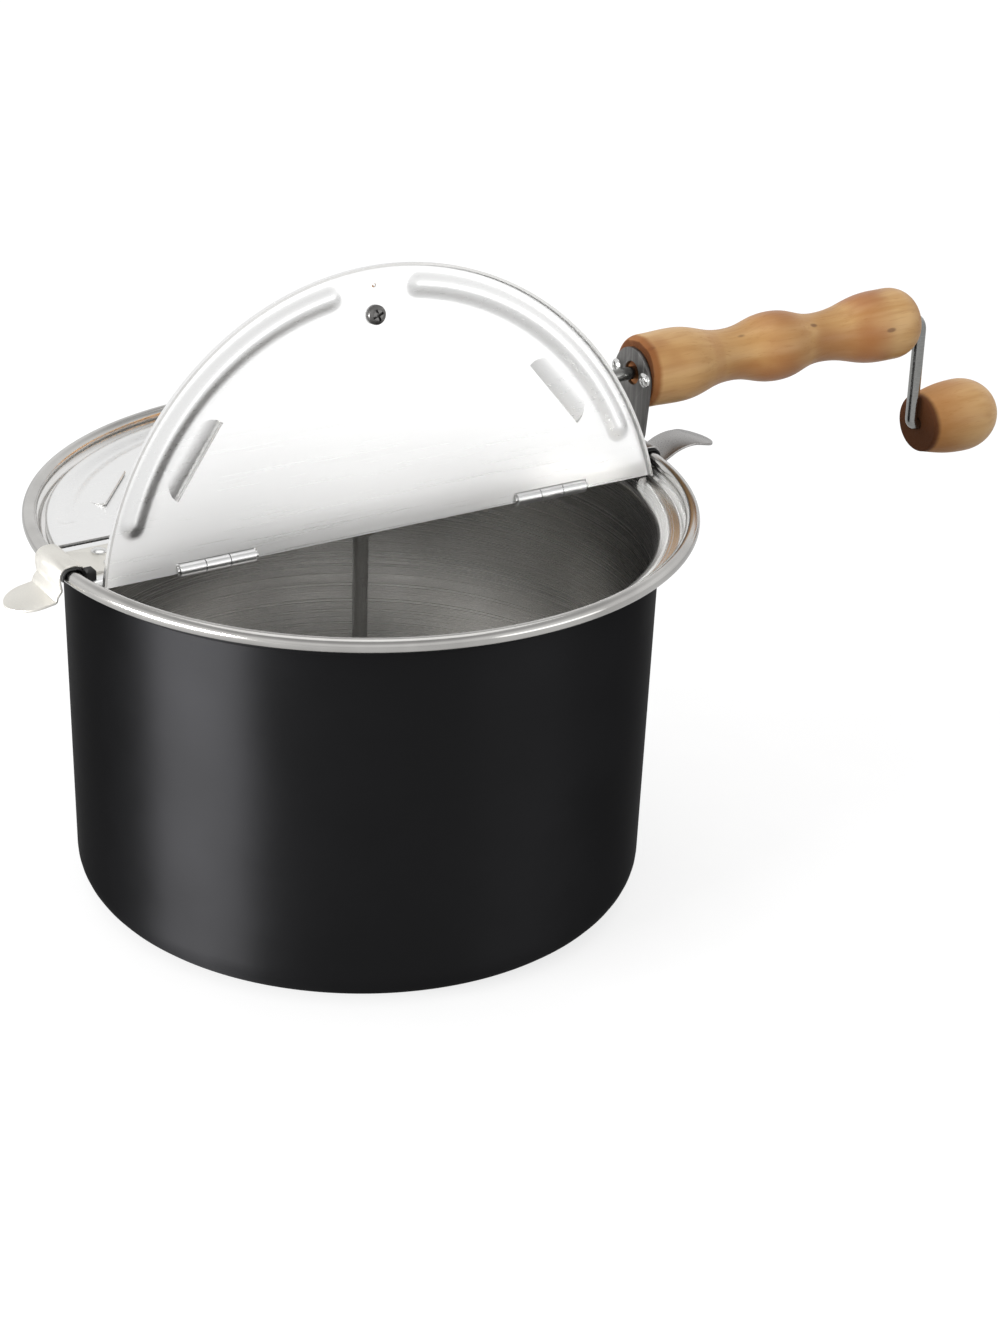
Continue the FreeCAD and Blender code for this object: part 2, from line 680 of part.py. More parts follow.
def make_handle_bracket():
    """A bent plate: its foot is riveted over the clip's foot, its upright carries the handle."""
    middle_x = bracket_face - bracket_sheet / 2
    foot_z = bar_top + clip_sheet + bracket_sheet / 2
    step_z = pot_height + bracket_step_rise
    top_middle = crank_z - bracket_top_drop
    foot_end = clip_inner_x - clip_bend
    corners = [(clip_foot_start, foot_z, 0),
               (foot_end, foot_z, bracket_foot_bend),
               (middle_x, step_z, bracket_step_bend),
               (middle_x, crank_z + bracket_top_radius, 0)]
    strip = bent_strip(corners, bracket_sheet, -bracket_top_radius, bracket_top_radius)
    outline = [Vec(0, bracket_top_radius, top_middle), Vec(0, bracket_foot_half, step_z),
               Vec(0, bracket_foot_half, ledge_z), Vec(0, -bracket_foot_half, ledge_z),
               Vec(0, -bracket_foot_half, step_z), Vec(0, -bracket_top_radius, top_middle)]
    crown = Part.Arc(outline[-1], Vec(0, 0, top_middle + bracket_top_radius), outline[0]).toShape()
    edges = Part.makePolygon(outline).Edges + [crown]
    plate = Part.Face(Part.Wire(edges)).extrude(X_AXIS * 2 * rim_radius)
    bracket = strip.common(plate)
    drill_start = bracket_face - 2 * bracket_sheet
    cuts = [cylinder(bracket_rod_hole, 3 * bracket_sheet, Vec(drill_start, 0, crank_z), X_AXIS)]
    for y in handle_screw_places():
        cuts.append(cylinder(handle_screw_shank + hole_gap, 3 * bracket_sheet,
                             Vec(drill_start, y, crank_z), X_AXIS))
    for x, y in foot_rivet_places(1):
        cuts.append(cylinder(rivet_radius + hole_gap, 3 * bracket_sheet, Vec(x, y, foot_z - 1.5 * bracket_sheet)))
    return solid(bracket.cut(cuts))


def make_handle():
    """A turned wooden grip with two waists, bored through for the crank rod."""
    stations = []
    for i in range(3):
        stations.append((handle_swell_at[i], handle_swell[i]))
        if i < 2:
            stations.append((handle_waist_at[i], handle_waist[i]))
    edge_end = (handle_edge_run, handle_swell[0] - handle_edge_drop)
    dome_start = (handle_length - handle_dome, handle_swell[2])
    profile = [edge_curve((0, handle_swell[0] - handle_edge), edge_end),
               swell_curve(edge_end, stations[0])]
    for a, b in zip(stations, stations[1:]):
        profile.append(swell_curve(a, b))
    profile.append(straight(stations[-1], dome_start))
    profile.append(shoulder_curve(dome_start, (handle_length, handle_end_face)))
    grip = turned(profile, Vec(bracket_face, 0, crank_z), X_AXIS)
    cuts = [cylinder(rod_bore, handle_length, Vec(bracket_face, 0, crank_z), X_AXIS)]
    for y in handle_screw_places():
        cuts.append(cylinder(handle_screw_shank + hole_gap, handle_screw_length,
                             Vec(bracket_face, y, crank_z), X_AXIS))
    return solid(grip.cut(cuts))


def make_handle_screws():
    seat_x = bracket_face - bracket_sheet
    screws = [pan_screw(Vec(seat_x, y, crank_z), X_AXIS, handle_screw_shank, handle_screw_length,
                        handle_screw_head, handle_screw_head_height) for y in handle_screw_places()]
    return Part.makeCompound(screws)


# ---------------------------------------------------------------- crank
rod_left = gear_leg_left - gear_sheet / 2 - rest_gap - push_nut_height - rod_stub_left
knob_recess_floor = knob_tip - knob_recess_depth
rod_right = knob_recess_floor + rest_gap + push_nut_height + rod_stub_right


def make_crank_rod():
    """A round rod: through the gear bracket and the handle, down the arm and out into the knob."""
    corners = [(rod_left, crank_z, 0),
               (arm_position, crank_z, rod_bend),
               (arm_position, knob_z, knob_bend),
               (rod_right, knob_z, 0)]
    rod = rod_along(rounded_path(corners), rod_radius)
    return solid(rod.cut(gear_pin_hole(drive_gear_pin_x(), 2 * gear_hub_radius)))


def make_push_nut(x, z, direction):
    """A bevelled push-on cap that holds a rod's end."""
    skirt_end = (push_nut_height - push_nut_crown, push_nut_radius)
    skirt = [straight((0, push_nut_radius), skirt_end),
             straight(skirt_end, (push_nut_height, rod_radius + push_nut_lip))]
    cap = turned(skirt, Vec(x, 0, z), direction)
    return solid(cap.cut(cylinder(rod_radius + hole_gap, push_nut_height, Vec(x, 0, z), direction)))


def make_crank_knob():
    """A turned wooden knob that spins on the crank's axle, with a recess for the axle's push nut."""
    rise = crank_knob_swell - crank_knob_face
    dome_start = (crank_knob_swell_at, crank_knob_swell)
    edge_end = (crank_knob_edge, crank_knob_face)
    flare = bezier(edge_end, (crank_knob_flare[0], crank_knob_face + rise / 2),
                   (crank_knob_flare[1], crank_knob_swell), dome_start)
    profile = [edge_curve((0, crank_knob_face - crank_knob_edge), edge_end), flare,
               shoulder_curve(dome_start, (crank_knob_length, 0))]
    knob = turned(profile, Vec(knob_face, 0, knob_z), X_AXIS)
    knob = knob.cut(cylinder(rod_bore, crank_knob_length, Vec(knob_face, 0, knob_z), X_AXIS))
    recess = cylinder(knob_recess_radius, knob_recess_depth, Vec(knob_recess_floor, 0, knob_z), X_AXIS)
    return solid(knob.cut(recess))


# ---------------------------------------------------------------- gears
gear_back = gear_pitch_radius + (gear_addendum + gear_root_clearance) / math.sqrt(2) + gear_rim
drive_hub_end = gear_leg_right - gear_sheet / 2 - rest_gap
washer_bottom = bar_top + bush_flange + rest_gap
driven_hub_end = crank_z - washer_bottom - washer_thickness


def drive_gear_pin_x():
    return (gear_back + drive_hub_end) / 2


def driven_gear_pin_z():
    return crank_z - (gear_back + driven_hub_end) / 2


def gear_pin_hole(x, length):
    """The hole, along Y, for the pin that fixes the drive gear on the crank rod."""
    return cylinder(gear_pin_radius + hole_gap, length, Vec(x, -length / 2, crank_z), Y_AXIS)


def tooth_section(scale):
    """A tooth's section square to the pitch cone, scaled towards the apex at the origin."""
    cone = gear_pitch_radius * math.sqrt(2) * scale
    along = Vec(1, 0, -1).normalize()
    out = Vec(1, 0, 1).normalize()
    slope = math.tan(math.radians(tooth_slope))
    pitch_half = (math.pi * gear_module / 2 - gear_backlash) / 2
    root = -(gear_addendum + gear_root_clearance + tooth_sink)
    corners = []
    for height, side in ((root, -1), (gear_addendum, -1), (gear_addendum, 1), (root, 1)):
        half = pitch_half - max(height, -gear_addendum - gear_root_clearance) * slope
        corners.append(along * cone + out * (height * scale) + Y_AXIS * (side * half * scale))
    return Part.makePolygon(corners + corners[:1])


def make_bevel_gear(hub_end, bore, phase):
    """A mitre gear with its apex at the origin and its hub down -Z to -hub_end."""
    inner_scale = 1 - gear_face / (gear_pitch_radius * math.sqrt(2))
    drop = (gear_addendum + gear_root_clearance) / math.sqrt(2)
    outer_root = (gear_pitch_radius - drop, -gear_pitch_radius - drop)
    inner_root = (outer_root[0] * inner_scale, outer_root[1] * inner_scale)
    outline = [(bore, inner_root[1]), inner_root, outer_root, (outer_root[0], -gear_back),
               (gear_hub_radius, -gear_back), (gear_hub_radius, -hub_end), (bore, -hub_end)]
    points = [Vec(r, 0, z) for r, z in outline]
    blank = Part.Face(Part.makePolygon(points + points[:1])).revolve(Vec(0, 0, 0), UP, 360)
    tooth = Part.makeLoft([tooth_section(1.0), tooth_section(inner_scale)], True, True)
    teeth = []
    for i in range(gear_teeth):
        copy = tooth.copy()
        copy.rotate(Vec(0, 0, 0), UP, (i + phase) * 360 / gear_teeth)
        teeth.append(copy)
    bore_space = cylinder(bore, hub_end, Vec(0, 0, -hub_end))
    return solid(blank.fuse(teeth).cut(bore_space))


def make_drive_gear():
    """The mitre gear on the crank rod; a gap of its teeth faces down."""
    gear = make_bevel_gear(drive_hub_end, rod_radius + hole_gap, 0.5)
    gear.rotate(Vec(0, 0, 0), Y_AXIS, -90)
    gear.translate(Vec(0, 0, crank_z))
    return solid(gear.cut(gear_pin_hole(drive_gear_pin_x(), 2 * gear_hub_radius)))


def make_driven_gear():
    """The mitre gear on the stirring shaft; one of its teeth faces the drive gear."""
    gear = make_bevel_gear(driven_hub_end, shaft_radius + hole_gap, 0)
    gear.translate(Vec(0, 0, crank_z))
    return solid(gear.cut(driven_pin_hole()))


def driven_pin_hole():
    return cylinder(gear_pin_radius + hole_gap, 2 * gear_hub_radius,
                    Vec(0, -gear_hub_radius, driven_gear_pin_z()), Y_AXIS)


def make_gear_pin(x, z):
    length = 2 * gear_hub_radius - 2 * rest_gap
    return cylinder(gear_pin_radius, length, Vec(x, -length / 2, z), Y_AXIS)


def make_gear_bracket():
    """A strap bent to an arch over the gears; its legs carry the crank rod, and an open leaf leans on it."""
    top_z = crank_z + gear_bracket_rise
    foot_z = bar_top + gear_sheet / 2
    left_end = gear_leg_left - gear_foot
    right_end = gear_leg_right + gear_foot
    corners = [(left_end, foot_z, 0), (gear_leg_left, foot_z, gear_foot_bend),
               (gear_leg_left, top_z, gear_top_bend), (gear_leg_right, top_z, gear_top_bend),
               (gear_leg_right, foot_z, gear_foot_bend), (right_end, foot_z, 0)]
    lean = math.radians(lid_lean)
    top_rise = top_z + gear_sheet / 2 - hinge_z
    leaf_y = hinge_offset - top_rise * math.tan(lean) - lid_sheet / 2 / math.cos(lean)
    half = leaf_y - rest_gap
    strap = bent_strip(corners, gear_sheet, -half, half)
    cuts = []
    for x in (gear_leg_left, gear_leg_right):
        cuts.append(cylinder(rod_bore, 2 * gear_sheet, Vec(x - gear_sheet, 0, crank_z), X_AXIS))
    for x, y in gear_rivet_places():
        cuts.append(cylinder(rivet_radius + hole_gap, 2 * gear_sheet, Vec(x, y, foot_z - gear_sheet)))
    return solid(strap.cut(cuts))


def make_gear_rivets():
    return Part.makeCompound([rivet(x, y, bar_bottom, bar_top + gear_sheet) for x, y in gear_rivet_places()])


# ---------------------------------------------------------------- stirring shaft, its bush and the wire
shaft_top = crank_z - rod_radius - shaft_top_gap
bush_bottom = bar_top - bush_length
retainer_top = bush_bottom - rest_gap
wire_z = pot_wall + wire_floor_gap + wire_radius
hub_bottom = pot_wall + hub_floor_gap
shaft_bottom = wire_z + wire_radius + hub_cover


def make_shaft_bush():
    bush = cylinder(bush_flange_radius, bush_flange, Vec(0, 0, bar_top))
    bush = bush.fuse(cylinder(bush_radius, bush_length, Vec(0, 0, bush_bottom)))
    return solid(bush.cut(cylinder(shaft_radius + running_gap, pot_height, Vec(0, 0, pot_height / 2))))


def make_bush_nut():
    corner = bush_nut_across / math.sqrt(3)
    points = [Vec(corner * math.cos(math.radians(60 * i)), corner * math.sin(math.radians(60 * i)),
                  bar_bottom - bush_nut_height) for i in range(7)]
    nut = Part.Face(Part.makePolygon(points)).extrude(Vec(0, 0, bush_nut_height))
    return solid(nut.cut(cylinder(bush_radius + hole_gap, pot_height, Vec(0, 0, pot_height / 2))))


def make_stirring_shaft():
    shaft = cylinder(shaft_radius, shaft_top - shaft_bottom, Vec(0, 0, shaft_bottom))
    groove = ring(2 * shaft_radius, groove_radius, retainer_thickness + 2 * retainer_play,
                  Vec(0, 0, retainer_top - retainer_thickness - retainer_play))
    return solid(shaft.cut([groove, driven_pin_hole()]))


def make_thrust_washer():
    return ring(washer_radius, shaft_radius + hole_gap, washer_thickness, Vec(0, 0, washer_bottom))


def make_shaft_retainer():
    """A snap ring in the shaft's groove under the bush."""
    base = Vec(0, 0, retainer_top - retainer_thickness)
    snap = ring(retainer_radius, groove_radius + hole_gap, retainer_thickness, base)
    mouth = box((0, 2 * retainer_radius), (-retainer_mouth / 2, retainer_mouth / 2), (0, pot_height))
    return solid(snap.cut(mouth))


def make_stirrer_hub():
    """A turned boss on the shaft's lower end, cross-drilled for the stirring wire."""
    bevel_end = (hub_bevel, hub_radius)
    taper_start = (hub_taper_at, hub_radius)
    profile = [straight((0, hub_radius - hub_bevel), bevel_end), straight(bevel_end, taper_start),
               straight(taper_start, (hub_height, shaft_radius + hub_lip))]
    hub = turned(profile, Vec(0, 0, hub_bottom), UP)
    bore = cylinder(shaft_radius + hole_gap, pot_height, Vec(0, 0, shaft_bottom))
    cross = cylinder(wire_radius + hole_gap, 4 * hub_radius, Vec(-2 * hub_radius, 0, wire_z), X_AXIS)
    return solid(hub.cut([bore, cross]))


def make_stirring_wire():
    """One wire in an S: straight through the hub, swept back in plan, and turned up at each tip."""
    centre = Vec(wire_straight, wire_curve, wire_z)
    turn = math.acos((wire_curve ** 2 + centre.x ** 2 + centre.y ** 2 - wire_reach ** 2)
                     / (2 * wire_curve * math.hypot(centre.x, centre.y)))
    turn -= math.atan2(centre.x, centre.y)
    start = Vec(wire_straight, 0, wire_z)
    middle = centre + Vec(math.sin(turn / 2), -math.cos(turn / 2), 0) * wire_curve
    end = centre + Vec(math.sin(turn), -math.cos(turn), 0) * wire_curve
    heading = Vec(math.cos(turn), math.sin(turn), 0)
    lift_centre = end + UP * wire_tip_bend
    lift_middle = lift_centre + (heading - UP) * (wire_tip_bend / math.sqrt(2))
    lift_end = lift_centre + heading * wire_tip_bend
    tip = lift_end + UP * (wire_tip - wire_tip_bend)
    arm = [Part.LineSegment(Vec(0, 0, wire_z), start).toShape(),
           Part.Arc(start, middle, end).toShape(),
           Part.Arc(end, lift_middle, lift_end).toShape(),
           Part.LineSegment(lift_end, tip).toShape()]
    half = rod_along(Part.Wire(arm), wire_radius)
    other = half.copy()
    other.rotate(Vec(0, 0, 0), UP, 180)
    return solid(half.fuse(other))


# ---------------------------------------------------------------- the whole
def make_parts():
    return {
        "pot": make_pot(),
        "crossbar": make_crossbar(),
        "hinge_pins": make_hinge_pins(),
        "clip_left": make_clip(-1),
        "clip_right": make_clip(1),
        "rim_pad_left": make_rim_pad(-1),
        "rim_pad_right": make_rim_pad(1),
        "foot_rivets": make_foot_rivets(),
        "handle_bracket": make_handle_bracket(),
        "handle": make_handle(),
        "handle_screws": make_handle_screws(),
        "gear_bracket": make_gear_bracket(),
        "gear_bracket_rivets": make_gear_rivets(),
        "shaft_bush": make_shaft_bush(),
        "bush_nut": make_bush_nut(),
        "lid_front": stand_open(make_half_lid(-1)),
        "lid_front_knob": stand_open(make_lid_knob(-1)),
        "lid_front_screw": stand_open(make_lid_screw(-1)),
        "lid_back": make_half_lid(1),
        "lid_back_knob": make_lid_knob(1),
        "lid_back_screw": make_lid_screw(1),
        "crank_rod": make_crank_rod(),
        "rod_cap": make_push_nut(gear_leg_left - gear_sheet / 2 - rest_gap, crank_z, Vec(-1, 0, 0)),
        "knob_cap": make_push_nut(knob_recess_floor + rest_gap, knob_z, X_AXIS),
        "drive_gear": make_drive_gear(),
        "drive_gear_pin": make_gear_pin(drive_gear_pin_x(), crank_z),
        "crank_knob": make_crank_knob(),
        "stirring_shaft": make_stirring_shaft(),
        "driven_gear": make_driven_gear(),
        "driven_gear_pin": make_gear_pin(0, driven_gear_pin_z()),
        "thrust_washer": make_thrust_washer(),
        "shaft_retainer": make_shaft_retainer(),
        "stirrer_hub": make_stirrer_hub(),
        "stirring_wire": make_stirring_wire(),
    }


os.makedirs("parts", exist_ok=True)
for name, shape in make_parts().items():
    shape.exportStep(f"parts/{name}.step")
    print(f"{name}: {len(shape.Solids)} solid(s), valid {shape.isValid()}, volume {shape.Volume:.1f}")
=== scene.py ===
"""Looks of a stovetop popcorn popper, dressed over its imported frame.

Metres, +Z up. The pot stands on the origin, the handle lies along +X and the open leaf of the lid faces -Y.
"""

import json
import logging
from dataclasses import dataclass
from enum import Enum
from math import atan2, copysign, cos, pi, radians, sin, sqrt, tan, tau
from typing import Any, Dict, List, Optional, Sequence, Tuple, Union

import bmesh
import bpy
from mathutils import Matrix, Vector


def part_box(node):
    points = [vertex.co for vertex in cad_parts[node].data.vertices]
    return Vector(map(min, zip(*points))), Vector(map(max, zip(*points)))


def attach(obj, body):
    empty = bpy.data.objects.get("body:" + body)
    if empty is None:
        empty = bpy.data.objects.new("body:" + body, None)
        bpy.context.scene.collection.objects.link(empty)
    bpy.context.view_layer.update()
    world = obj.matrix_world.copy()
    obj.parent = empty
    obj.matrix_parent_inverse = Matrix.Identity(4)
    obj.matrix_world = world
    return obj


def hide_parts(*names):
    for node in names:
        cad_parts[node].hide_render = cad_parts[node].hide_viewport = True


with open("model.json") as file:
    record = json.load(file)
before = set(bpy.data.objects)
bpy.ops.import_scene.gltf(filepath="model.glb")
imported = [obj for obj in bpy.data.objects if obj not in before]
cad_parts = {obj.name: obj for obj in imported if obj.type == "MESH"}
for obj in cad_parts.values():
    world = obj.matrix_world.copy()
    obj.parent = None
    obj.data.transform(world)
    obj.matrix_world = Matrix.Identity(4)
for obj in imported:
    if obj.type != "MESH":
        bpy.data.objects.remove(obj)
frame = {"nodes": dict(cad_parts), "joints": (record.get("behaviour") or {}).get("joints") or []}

LOG = logging.getLogger("popper")
Colour = Tuple[float, float, float]
Point = Tuple[float, float, float]
Value = Union["Signal", float]
Inputs = Dict[Union[str, int], Any]

# Places that several pieces share, in millimetres.
MM = 0.001
RIM_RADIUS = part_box("pot")[1][0] / MM
RIM_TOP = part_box("pot")[1][2] / MM
LID_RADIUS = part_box("lid_back")[1][1] / MM
SKIRT_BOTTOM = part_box("lid_back")[0][2] / MM
HINGE_PLACES = (-70.0, 70.0)     # along X
TOUCH = 1e-7                     # metres off a cutting plane that count as on it
WHITE: Colour = (1.0, 1.0, 1.0)


class Axis(Enum):
    """Direction that a grain, a brush mark or a turned piece runs along."""

    X = (1.0, 0.0, 0.0)
    Y = (0.0, 1.0, 0.0)
    Z = (0.0, 0.0, 1.0)


# --- material workshop
@dataclass(frozen=True)
class Signal:
    """A value or vector leaving a socket on a bench. Python's operators on it add Math nodes."""

    bench: "Bench"
    socket: bpy.types.NodeSocket

    def __add__(self, other: Value) -> "Signal":
        """Sum."""
        return self.bench.maths("ADD", self, other)

    def __sub__(self, other: Value) -> "Signal":
        """Difference."""
        return self.bench.maths("SUBTRACT", self, other)

    def __rsub__(self, other: Value) -> "Signal":
        """Difference, with this value taken away."""
        return self.bench.maths("SUBTRACT", other, self)

    def __mul__(self, other: Value) -> "Signal":
        """Product."""
        return self.bench.maths("MULTIPLY", self, other)

    __radd__ = __add__
    __rmul__ = __mul__


class Bench:
    """A material being made: its node tree and the few kinds of node that the finishes need."""

    def __init__(self, material: Union[bpy.types.Material, bpy.types.World]) -> None:
        """Clear a node tree to work on it.

        Args:
            material: the material, or the world, whose tree it is.
        """
        self.material = material
        material.use_nodes = True
        self.tree = material.node_tree
        self.tree.nodes.clear()

    def node(self, kind: str, inputs: Inputs, **settings: str) -> bpy.types.Node:
        """Add a node.

        Args:
            kind: the node's type, without its ShaderNode prefix.
            inputs: what goes into its sockets, as values or signals.
            settings: the node's own settings, set first.

        Returns:
            The new node.
        """
        made = self.tree.nodes.new("ShaderNode" + kind)
        for name, value in settings.items():
            setattr(made, name, value)
        for name, value in inputs.items():
            socket = made.inputs[name]
            if isinstance(value, Signal):
                self.tree.links.new(value.socket, socket)
            elif socket.type == "RGBA":
                socket.default_value = (*value, 1.0)
            else:
                socket.default_value = value
        return made

    def read(self, kind: str, inputs: Optional[Inputs] = None, output: Union[str, int] = 0, **settings: str) -> Signal:
        """Add a node, as above, and take one of its outputs."""
        return Signal(self, self.node(kind, inputs or {}, **settings).outputs[output])

    def maths(self, operation: str, *values: Value) -> Signal:
        """A Math node on one or two values."""
        return self.read("Math", dict(enumerate(values)), operation=operation)

    def place(self) -> Signal:
        """Where the surface is, in the object's own metres."""
        return self.read("TexCoord", output="Object")

    def parts(self, vector: Signal) -> List[Signal]:
        """A vector's three numbers."""
        return [Signal(self, number) for number in self.node("SeparateXYZ", {0: vector}).outputs]

    def stretched(self, scale: Point, turn: Point = (0.0, 0.0, 0.0), shift: Point = (0.0, 0.0, 0.0)) -> Signal:
        """The surface's place, stretched for a pattern.

        Args:
            scale: how often the pattern repeats per metre along each axis.
            turn: rotation in degrees.
            shift: metres that the pattern is moved by first.

        Returns:
            The stretched coordinates.
        """
        moved_place = self.read("VectorMath", {0: self.place(), 1: shift}, operation="SUBTRACT")
        angles = tuple(radians(angle) for angle in turn)
        return self.read("Mapping", {"Vector": moved_place, "Rotation": angles, "Scale": scale})

    def noise(self, vector: Signal, scale: float = 1.0, detail: float = 2.0, rough: float = 0.5,
              twist: float = 0.0) -> Signal:
        """Cloudy noise from 0 to 1."""
        return self.read("TexNoise", {"Vector": vector, "Scale": scale, "Detail": detail, "Roughness": rough,
                                      "Distortion": twist}, "Fac")

    def span(self, value: Value, low: float, high: float, out_low: float = 0.0, out_high: float = 1.0) -> Signal:
        """A value brought smoothly from the range of low to high into that of out_low to out_high, and held there."""
        return self.read("MapRange", {0: value, 1: low, 2: high, 3: out_low, 4: out_high},
                         interpolation_type="SMOOTHSTEP")

    def blend(self, share: Value, under: Union[Signal, Colour], over: Union[Signal, Colour]) -> Signal:
        """Two colours mixed by a share from 0 to 1."""
        return self.read("Mix", {0: share, 6: under, 7: over}, 2, data_type="RGBA")

    def relief(self, height: Signal, depth: float, strength: float, under: Optional[Signal] = None) -> Signal:
        """Bump the surface.

        Args:
            height: the pattern, from 0 to 1.
            depth: metres from its lowest to its highest.
            strength: how much of it shows.
            under: another relief that this one lies on.

        Returns:
            The bumped normal.
        """
        inputs: Inputs = {"Height": height, "Distance": depth, "Strength": strength}
        if under is not None:
            inputs["Normal"] = under
        return self.read("Bump", inputs)

    def surface(self, colour: Signal, roughness: Signal, metallic: float, normal: Signal,
                **others: Union[Value, Colour]) -> bpy.types.Material:
        """Finish the material with its shader.

        Args:
            colour: base colour.
            roughness: from 0, a mirror, to 1, matt.
            metallic: 1 for bare metal.
            normal: its relief.
            others: the shader's other sockets, with underscores for spaces.

        Returns:
            The finished material.
        """
        inputs: Inputs = {"Base Color": colour, "Roughness": roughness, "Metallic": metallic, "Normal": normal}
        inputs.update({name.replace("_", " "): value for name, value in others.items()})
        self.node("OutputMaterial", {"Surface": self.read("BsdfPrincipled", inputs)})
        return self.material


# --- finishes
@dataclass(frozen=True)
class BlackCoat:
    """Hard satin black skin on the spun wall, with a fine even grain that draws highlights upright."""

    colour: Colour = (0.0212, 0.0212, 0.0222)
    worn: Colour = (0.0248, 0.0248, 0.0262)
    rim_tint: Colour = (0.46, 0.46, 0.46)
    roughness: float = 0.47
    stretch: float = 0.90

    def make(self, bench: Bench) -> bpy.types.Material:
        """Make the finish.

        Args:
            bench: where its nodes go.

        Returns:
            The material.
        """
        cloud = bench.noise(bench.place(), 22.0, 3.0)
        rings = bench.noise(bench.stretched((3.0, 3.0, 520.0)), 1.0, 3.0)
        grain = bench.noise(bench.place(), 2600.0, 2.0)
        colour = bench.blend(bench.span(cloud, 0.35, 0.75), self.colour, self.worn)
        rough = bench.span(cloud, 0.3, 0.7, self.roughness - 0.03, self.roughness + 0.03) + rings * 0.02
        normal = bench.relief(grain, 0.00002, 0.6, bench.relief(rings, 0.00003, 0.3))
        return bench.surface(colour, rough, 1.0, normal, Specular_Tint=self.rim_tint, Anisotropic=self.stretch,
                             Anisotropic_Rotation=0.25)


@dataclass(frozen=True)
class SpunMetal:
    """Bare metal spun about the pot's axis: fine rings of tool marks under a few clouds."""

    colour: Colour
    shade: Colour
    roughness: float = 0.24
    rings_per_metre: float = 1500.0
    ring_depth: float = 0.00004

    def make(self, bench: Bench) -> bpy.types.Material:
        """Make the finish.

        Args:
            bench: where its nodes go.

        Returns:
            The material.
        """
        x, y, z = bench.parts(bench.place())
        radius = bench.maths("SQRT", x * x + y * y)
        rings = bench.noise(bench.read("CombineXYZ", {0: radius * self.rings_per_metre, 1: z * self.rings_per_metre}))
        cloud = bench.noise(bench.place(), 30.0, 3.0)
        colour = bench.blend(bench.span(cloud, 0.3, 0.75), self.colour, self.shade)
        rough = bench.span(rings, 0.2, 0.8, self.roughness - 0.06, self.roughness + 0.08)
        return bench.surface(colour, rough, 1.0, bench.relief(rings, self.ring_depth, 0.4))


@dataclass(frozen=True)
class SheetMetal:
    """Rolled or drawn metal with its fine lines along one axis and a few faint handling marks."""

    colour: Colour
    shade: Colour
    roughness: float
    lines: Axis = Axis.X
    lines_per_metre: float = 1800.0
    line_depth: float = 0.00001
    line_strength: float = 0.5
    contrast: float = 1.0

    def make(self, bench: Bench) -> bpy.types.Material:
        """Make the finish.

        Args:
            bench: where its nodes go.

        Returns:
            The material.
        """
        scale = tuple(14.0 if along else self.lines_per_metre for along in self.lines.value)
        lines = bench.noise(bench.stretched(scale), 1.0, 3.0, 0.6)
        cloud = bench.noise(bench.place(), 26.0, 3.0, 0.6)
        tone = bench.span(lines * 0.6 + cloud * 0.4, 0.5 - 0.2 / self.contrast, 0.5 + 0.2 / self.contrast)
        colour = bench.blend(tone, self.shade, self.colour)
        marks = bench.span(bench.noise(bench.stretched((900.0, 90.0, 300.0), (20.0, 35.0, 50.0))),
                           0.66, 0.78, 0.0, 0.08)
        rough = bench.span(lines, 0.25, 0.75, self.roughness - 0.05, self.roughness + 0.07) + marks
        return bench.surface(colour, rough, 1.0, bench.relief(lines, self.line_depth, self.line_strength))


@dataclass(frozen=True)
class MattBlack:
    """Matt black with a fine tooth, for the black pieces under the clips."""

    colour: Colour = (0.012, 0.012, 0.012)
    dust: Colour = (0.030, 0.029, 0.028)
    roughness: float = 0.7

    def make(self, bench: Bench) -> bpy.types.Material:
        """Make the finish.

        Args:
            bench: where its nodes go.

        Returns:
            The material.
        """
        cloud = bench.noise(bench.place(), 240.0, 3.0)
        tooth = bench.noise(bench.place(), 2400.0, 2.0)
        colour = bench.blend(bench.span(cloud, 0.45, 0.8), self.colour, self.dust)
        rough = bench.span(cloud, 0.3, 0.7, self.roughness - 0.1, self.roughness + 0.1)
        return bench.surface(colour, rough, 0.0, bench.relief(tooth, 0.00004, 0.5))


@dataclass(frozen=True)
class Scorch:
    """A stretch along X where the wood is darker: no change at start, all of it at full. On the crank knob's inner end
    the darkening is dark end grain with painted shade on top.
    """

    start: float
    full: float
    colour: Colour
    share: float


@dataclass(frozen=True)
class Blush:
    """A patchy band across X where the wood is redder: strongest at its middle, gone at its reach."""

    middle: float
    reach: float
    share: float


